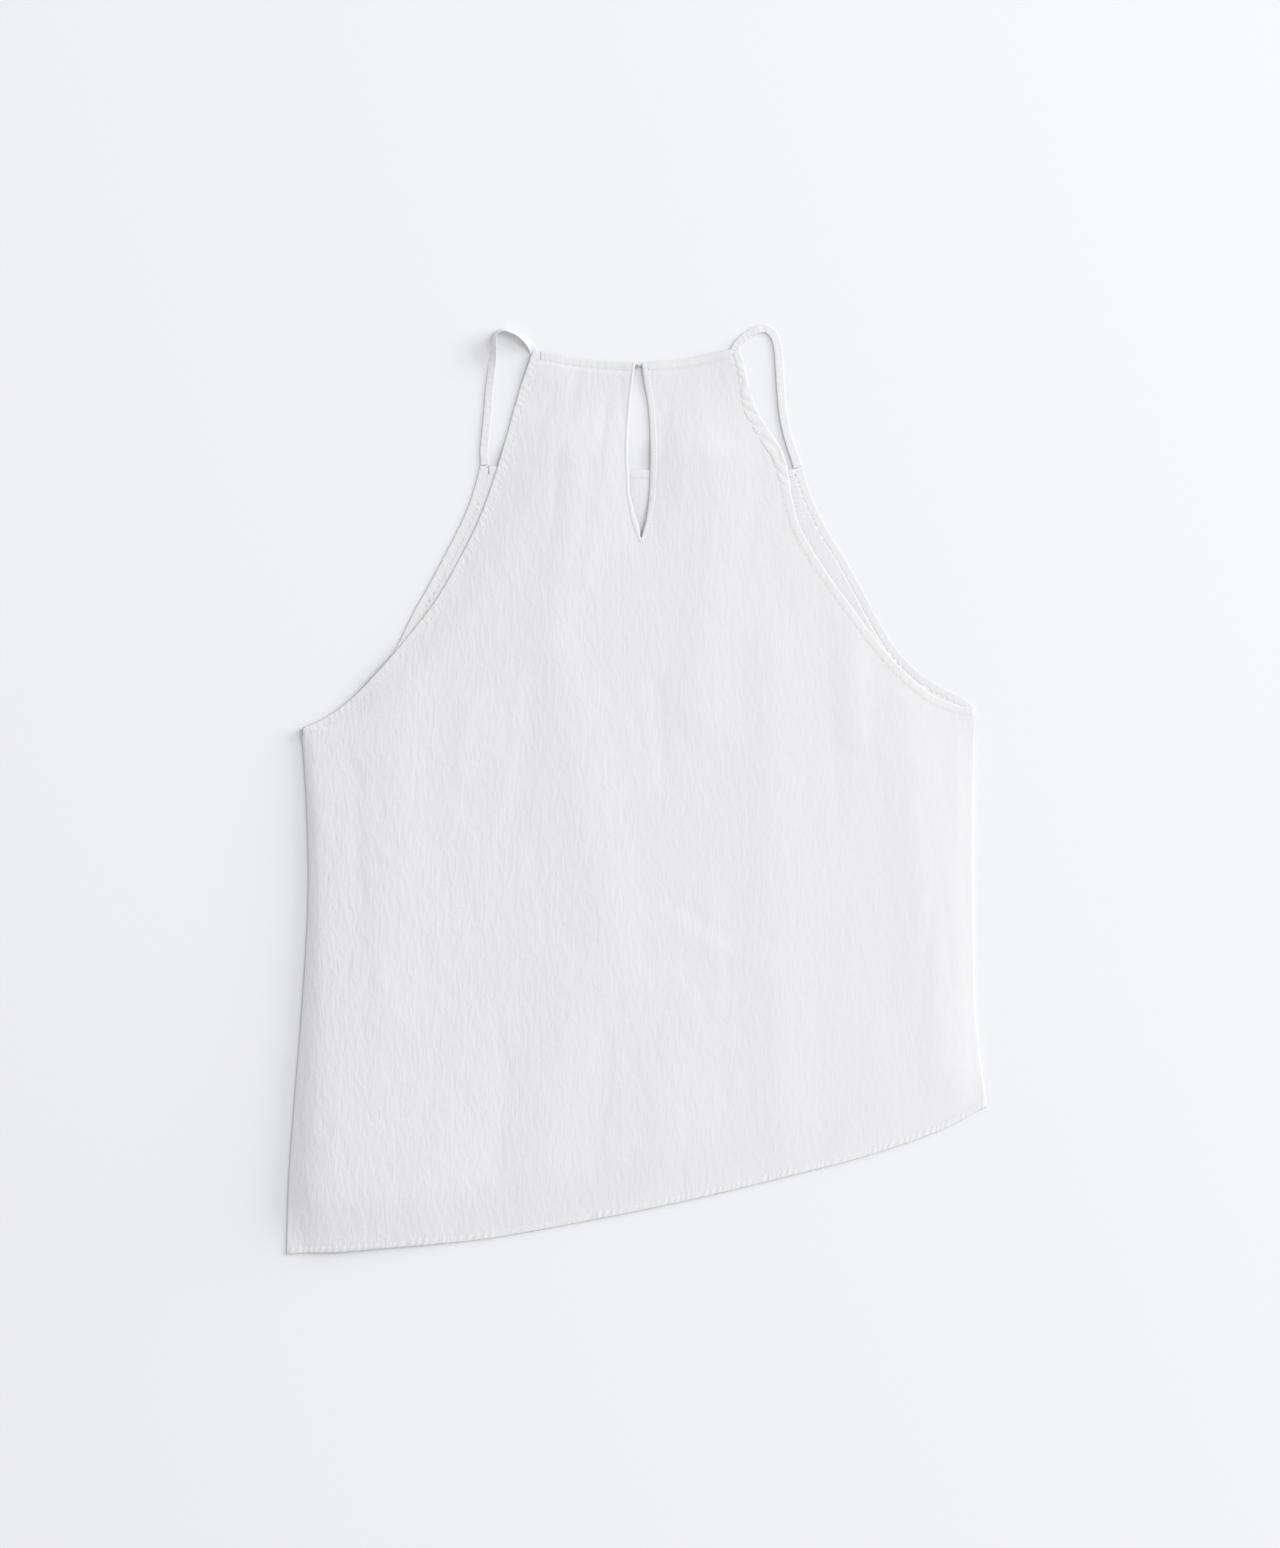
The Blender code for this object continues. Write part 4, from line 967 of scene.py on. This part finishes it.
strapLook = {
    "width": 5.5, "thick": 0.7, "step": 0.8, "pucker": 0.10, "pitch": 3.8, "drift": 9,
    # its section, with a sunk stitch line on either face
    "corners": 20, "flatter": (0.55, 0.7), "groove": 0.22, "grooveAt": 0.62,
    "grooveWidth": 0.12,
    # across, up, clearance, lean from flat in degrees, size
    "left": [
        (-108.3, 552.9, 0.25, 0, 1.1), (-108.6, 556.5, 0.2, 0, 1),
        (-108.9, 563, 0.15, 0, 1), (-107.9, 573, 0.1, 0, 1),
        (-106.4, 589, 0.1, 0, 1), (-105, 606, 0.1, 3, 1),
        (-103.2, 622, 0.1, 15, 1), (-102, 634, 0.1, 42, 1),
        (-101.4, 641.8, 0.1, 62, 1), (-99.6, 645.7, 0.1, 66, 1),
        (-95, 647.7, 0.1, 66, 1), (-89.7, 646.5, 0.1, 64, 1),
        (-84.5, 644.2, 0.1, 56, 1), (-79.2, 640.3, 0.1, 40, 1),
        (-75.2, 635.4, 0.15, 12, 1), (-73.4, 630.1, 0.2, 0, 0.95),
        (-72.6, 625, 0.2, 0, 0.9)],
    "right": [
        (111.6, 550.9, 0.25, 0, 1.15), (110.4, 555, 0.2, 0, 1.1),
        (107.8, 562.5, 0.15, -1, 1.05), (104.3, 573.5, 0.1, -2, 1),
        (101.4, 587, 0.1, -2, 1), (99.7, 604, 0.1, -2, 1),
        (98.7, 620, 0.1, -2, 1), (97.6, 633.5, 0.1, -2, 1),
        (95.4, 642.4, 0.1, -2, 1), (91.4, 647.4, 0.1, -2, 1),
        (86.4, 648.7, 0.1, -2, 1), (81.2, 647, 0.1, -5, 1),
        (76.4, 644, 0.1, -2, 1), (71.8, 640.4, 0.15, -2, 1),
        (68.4, 636, 0.2, 0, 1), (66.4, 630.6, 0.2, 0, 0.95),
        (65.8, 625.5, 0.2, 0, 0.9)],
}


def makeStrap(side, seed):
    look = strapLook
    rows = smoothLine(look[side], 600)
    along = np.concatenate([[0.0], np.cumsum(np.hypot(*np.diff(rows[:, :2], axis=0).T))])
    spots = np.linspace(0, along[-1], int(along[-1] / look["step"]) + 1)
    across, up, clear, lean, size = (np.interp(spots, along, rows[:, k]) for k in range(5))
    lean = np.radians(lean)
    rise = look["width"] / 2 * np.abs(np.sin(lean)) + look["thick"] / 2 * np.cos(lean)
    centre = np.stack([across, up, clear + rise * size], -1)
    way = np.gradient(centre, axis=0)
    way /= np.linalg.norm(way, axis=1)[:, None]
    flat = np.cross(way, (0.0, 0.0, 1.0))
    flat /= np.linalg.norm(flat, axis=1)[:, None]
    high = np.cross(flat, way)
    wide = flat * np.cos(lean)[:, None] + high * np.sin(lean)[:, None]
    thin = high * np.cos(lean)[:, None] - flat * np.sin(lean)[:, None]
    halfWidth, halfThick = look["width"] / 2, look["thick"] / 2
    ring = []
    flatWidth, flatThick = look["flatter"]
    for turn in np.arange(look["corners"]) * math.tau / look["corners"]:
        c, s = math.cos(turn), math.sin(turn)
        x = halfWidth * math.copysign(abs(c) ** flatWidth, c)
        y = halfThick * math.copysign(abs(s) ** flatThick, s)
        near = math.exp(-((x / halfWidth - look["grooveAt"]) / look["grooveWidth"]) ** 2)
        y -= look["groove"] * math.copysign(near, s) * abs(s)
        ring.append((x, y))
    drift = cloud(spots / look["drift"], 0 * spots, seed)
    pucker = look["pucker"] * np.sin((spots / look["pitch"] + drift) * math.tau)
    points = []
    for x, y in ring:
        depth = y + pucker * np.sign(y) * (abs(y) / halfThick)
        points.append(centre + (wide * x + thin * depth[:, None]) * size[:, None])
    points = np.stack(points, 1)
    mesh = tubeOf(f"strap_{side}_ribbon", place(*(points[..., k] for k in range(3))))
    return show(f"strap_{side}_ribbon", mesh, bias, "bias", f"strap_{side}")


straps = [makeStrap("left", 171), makeStrap("right", 181)]
print("straps made")


# Hook and eye

fastening = {
    "wire": 0.5, "up": 622.0, "low": 0.45, "barHeight": 1.7, "bill": 2.9, "hookLeg": 0.42,
    "hookBend": -1.9, "billTip": 0.1, "hookRing": 4.8, "eyeLeg": 1.25, "eyeRing": -5.4,
    "eyeLegStart": -3.6, "eyeBar": -0.6, "ring": 0.6, "ringSteps": 12, "billRound": 0.9,
    # the eye's bend up to its bar: across, lower than the bar, share of the leg
    "barBend": ((0.7, 0.1, 1.0), (0.15, 0.0, 0.8)),
}


def wirePiece(name, half, node):  # half of the path, mirrored to the other half
    look = fastening
    path = half + [(x, 2 * look["up"] - y, z) for x, y, z in reversed(half)]
    curve = bpy.data.curves.new(name, "CURVE")
    curve.dimensions = "3D"
    curve.bevel_depth = look["wire"] / 2 * mm
    curve.bevel_resolution = 4
    curve.use_fill_caps = True
    spline = curve.splines.new("POLY")
    points = place(*smoothLine(path, 5 * len(path)).T)
    spline.points.add(len(points) - 1)
    for point, spot in zip(spline.points, points):
        point.co = (*spot, 1.0)
    return show(name, curve, nickel, "wire", node)


def ringPath(across, leg, side):  # three quarters of the sewing ring
    look = fastening
    path = []
    for k in range(look["ringSteps"] + 1):
        turn = math.radians(270) * (1 - k / look["ringSteps"])
        path.append((
            across + side * look["ring"] * math.sin(turn),
            look["up"] + leg + look["ring"] * (1 - math.cos(turn)), look["low"]))
    return path


def makeFastening():
    look = fastening
    hook = ringPath(look["hookRing"], look["hookLeg"], 1)
    rise = look["bill"] - look["low"]
    for turn in (0, 30, 60, 90, 120, 150):
        angle = math.radians(turn)
        hook.append((
            look["hookBend"] + look["billRound"] * (1 - math.sin(angle)),
            look["up"] + look["hookLeg"], look["low"] + rise * (1 - math.cos(angle)) / 2))
    hook.append((look["billTip"], look["up"] + look["hookLeg"], look["bill"]))
    eye = ringPath(look["eyeRing"], look["eyeLeg"], -1)
    bar, high = look["eyeBar"], look["barHeight"]
    eye.append((look["eyeLegStart"], look["up"] + look["eyeLeg"], look["low"]))
    for before, lower, share in look["barBend"]:
        eye.append((bar - before, look["up"] + look["eyeLeg"] * share, high - lower))
    return [wirePiece("hook_wire", hook, "neck_hook"), wirePiece("eye_wire", eye, "neck_eye")]


fastenings = makeFastening()
print("hook and eye made")


# Floor, light and camera

studio = {
    "floor": (0.797, 0.801, 0.830), "floorSize": 24.0, "sky": (0.99, 0.99, 1.0),
    "skyStrength": 0.60,
    # from, distance, size, power
    "window": ((0.80, 0.34, 0.55), 11.0, (8.2, 8.2), 860.0),
    "lowWindow": ((0.86, 0.34, 0.13), 11.0, (8.2, 2.8), 1800.0),
    "lens": 85.0, "pixel": 0.7025,
    "middlePixel": (640, 774), "originPixel": (639, 1252), "height": 1548,
}


def addLight(name, rows):
    start, distance, size, power = rows
    lamp = bpy.data.lights.new(name, "AREA")
    lamp.shape = "RECTANGLE"
    lamp.size, lamp.size_y = size
    lamp.energy = power
    light = bpy.data.objects.new(name, lamp)
    light.location = Vector(start).normalized() * distance
    light.rotation_mode = "QUATERNION"
    light.rotation_quaternion = light.location.to_track_quat("Z", "Y")
    bpy.context.scene.collection.objects.link(light)
    return light


def makeStudio():
    look = studio
    finish = Finish("pale floor", Roughness=0.95, Specular_IOR_Level=0.1)
    finish.shader.inputs["Base Color"].default_value = (*look["floor"], 1.0)
    half = look["floorSize"] / 2
    mesh = meshOf("floor", [(-half, -half, 0), (half, -half, 0), (half, half, 0),
                            (-half, half, 0)], [(0, 1, 2, 3)])
    floor = bpy.data.objects.new("floor", mesh)
    mesh.materials.append(finish.material)
    bpy.context.scene.collection.objects.link(floor)

    world = bpy.data.worlds.new("sky")
    world.use_nodes = True
    background = world.node_tree.nodes["Background"]
    background.inputs["Color"].default_value = (*look["sky"], 1.0)
    background.inputs["Strength"].default_value = look["skyStrength"]
    bpy.context.scene.world = world

    addLight("window", look["window"])
    reached = bpy.data.collections.new("lowWindowReaches")
    reached.objects.link(floor)
    addLight("lowWindow", look["lowWindow"]).light_linking.receiver_collection = reached

    camera = bpy.data.cameras.new("camera")
    camera.lens = look["lens"]
    eye = bpy.data.objects.new("camera", camera)
    across = (look["middlePixel"][0] - look["originPixel"][0]) * look["pixel"]
    up = (look["originPixel"][1] - look["middlePixel"][1]) * look["pixel"]
    distance = look["height"] * look["pixel"] * look["lens"] / camera.sensor_width
    eye.location = place(np.array(across), np.array(up), np.array(distance))
    bpy.context.scene.collection.objects.link(eye)
    bpy.context.scene.camera = eye
    bpy.context.scene.view_settings.view_transform = "Standard"


makeStudio()
print("scene ready")
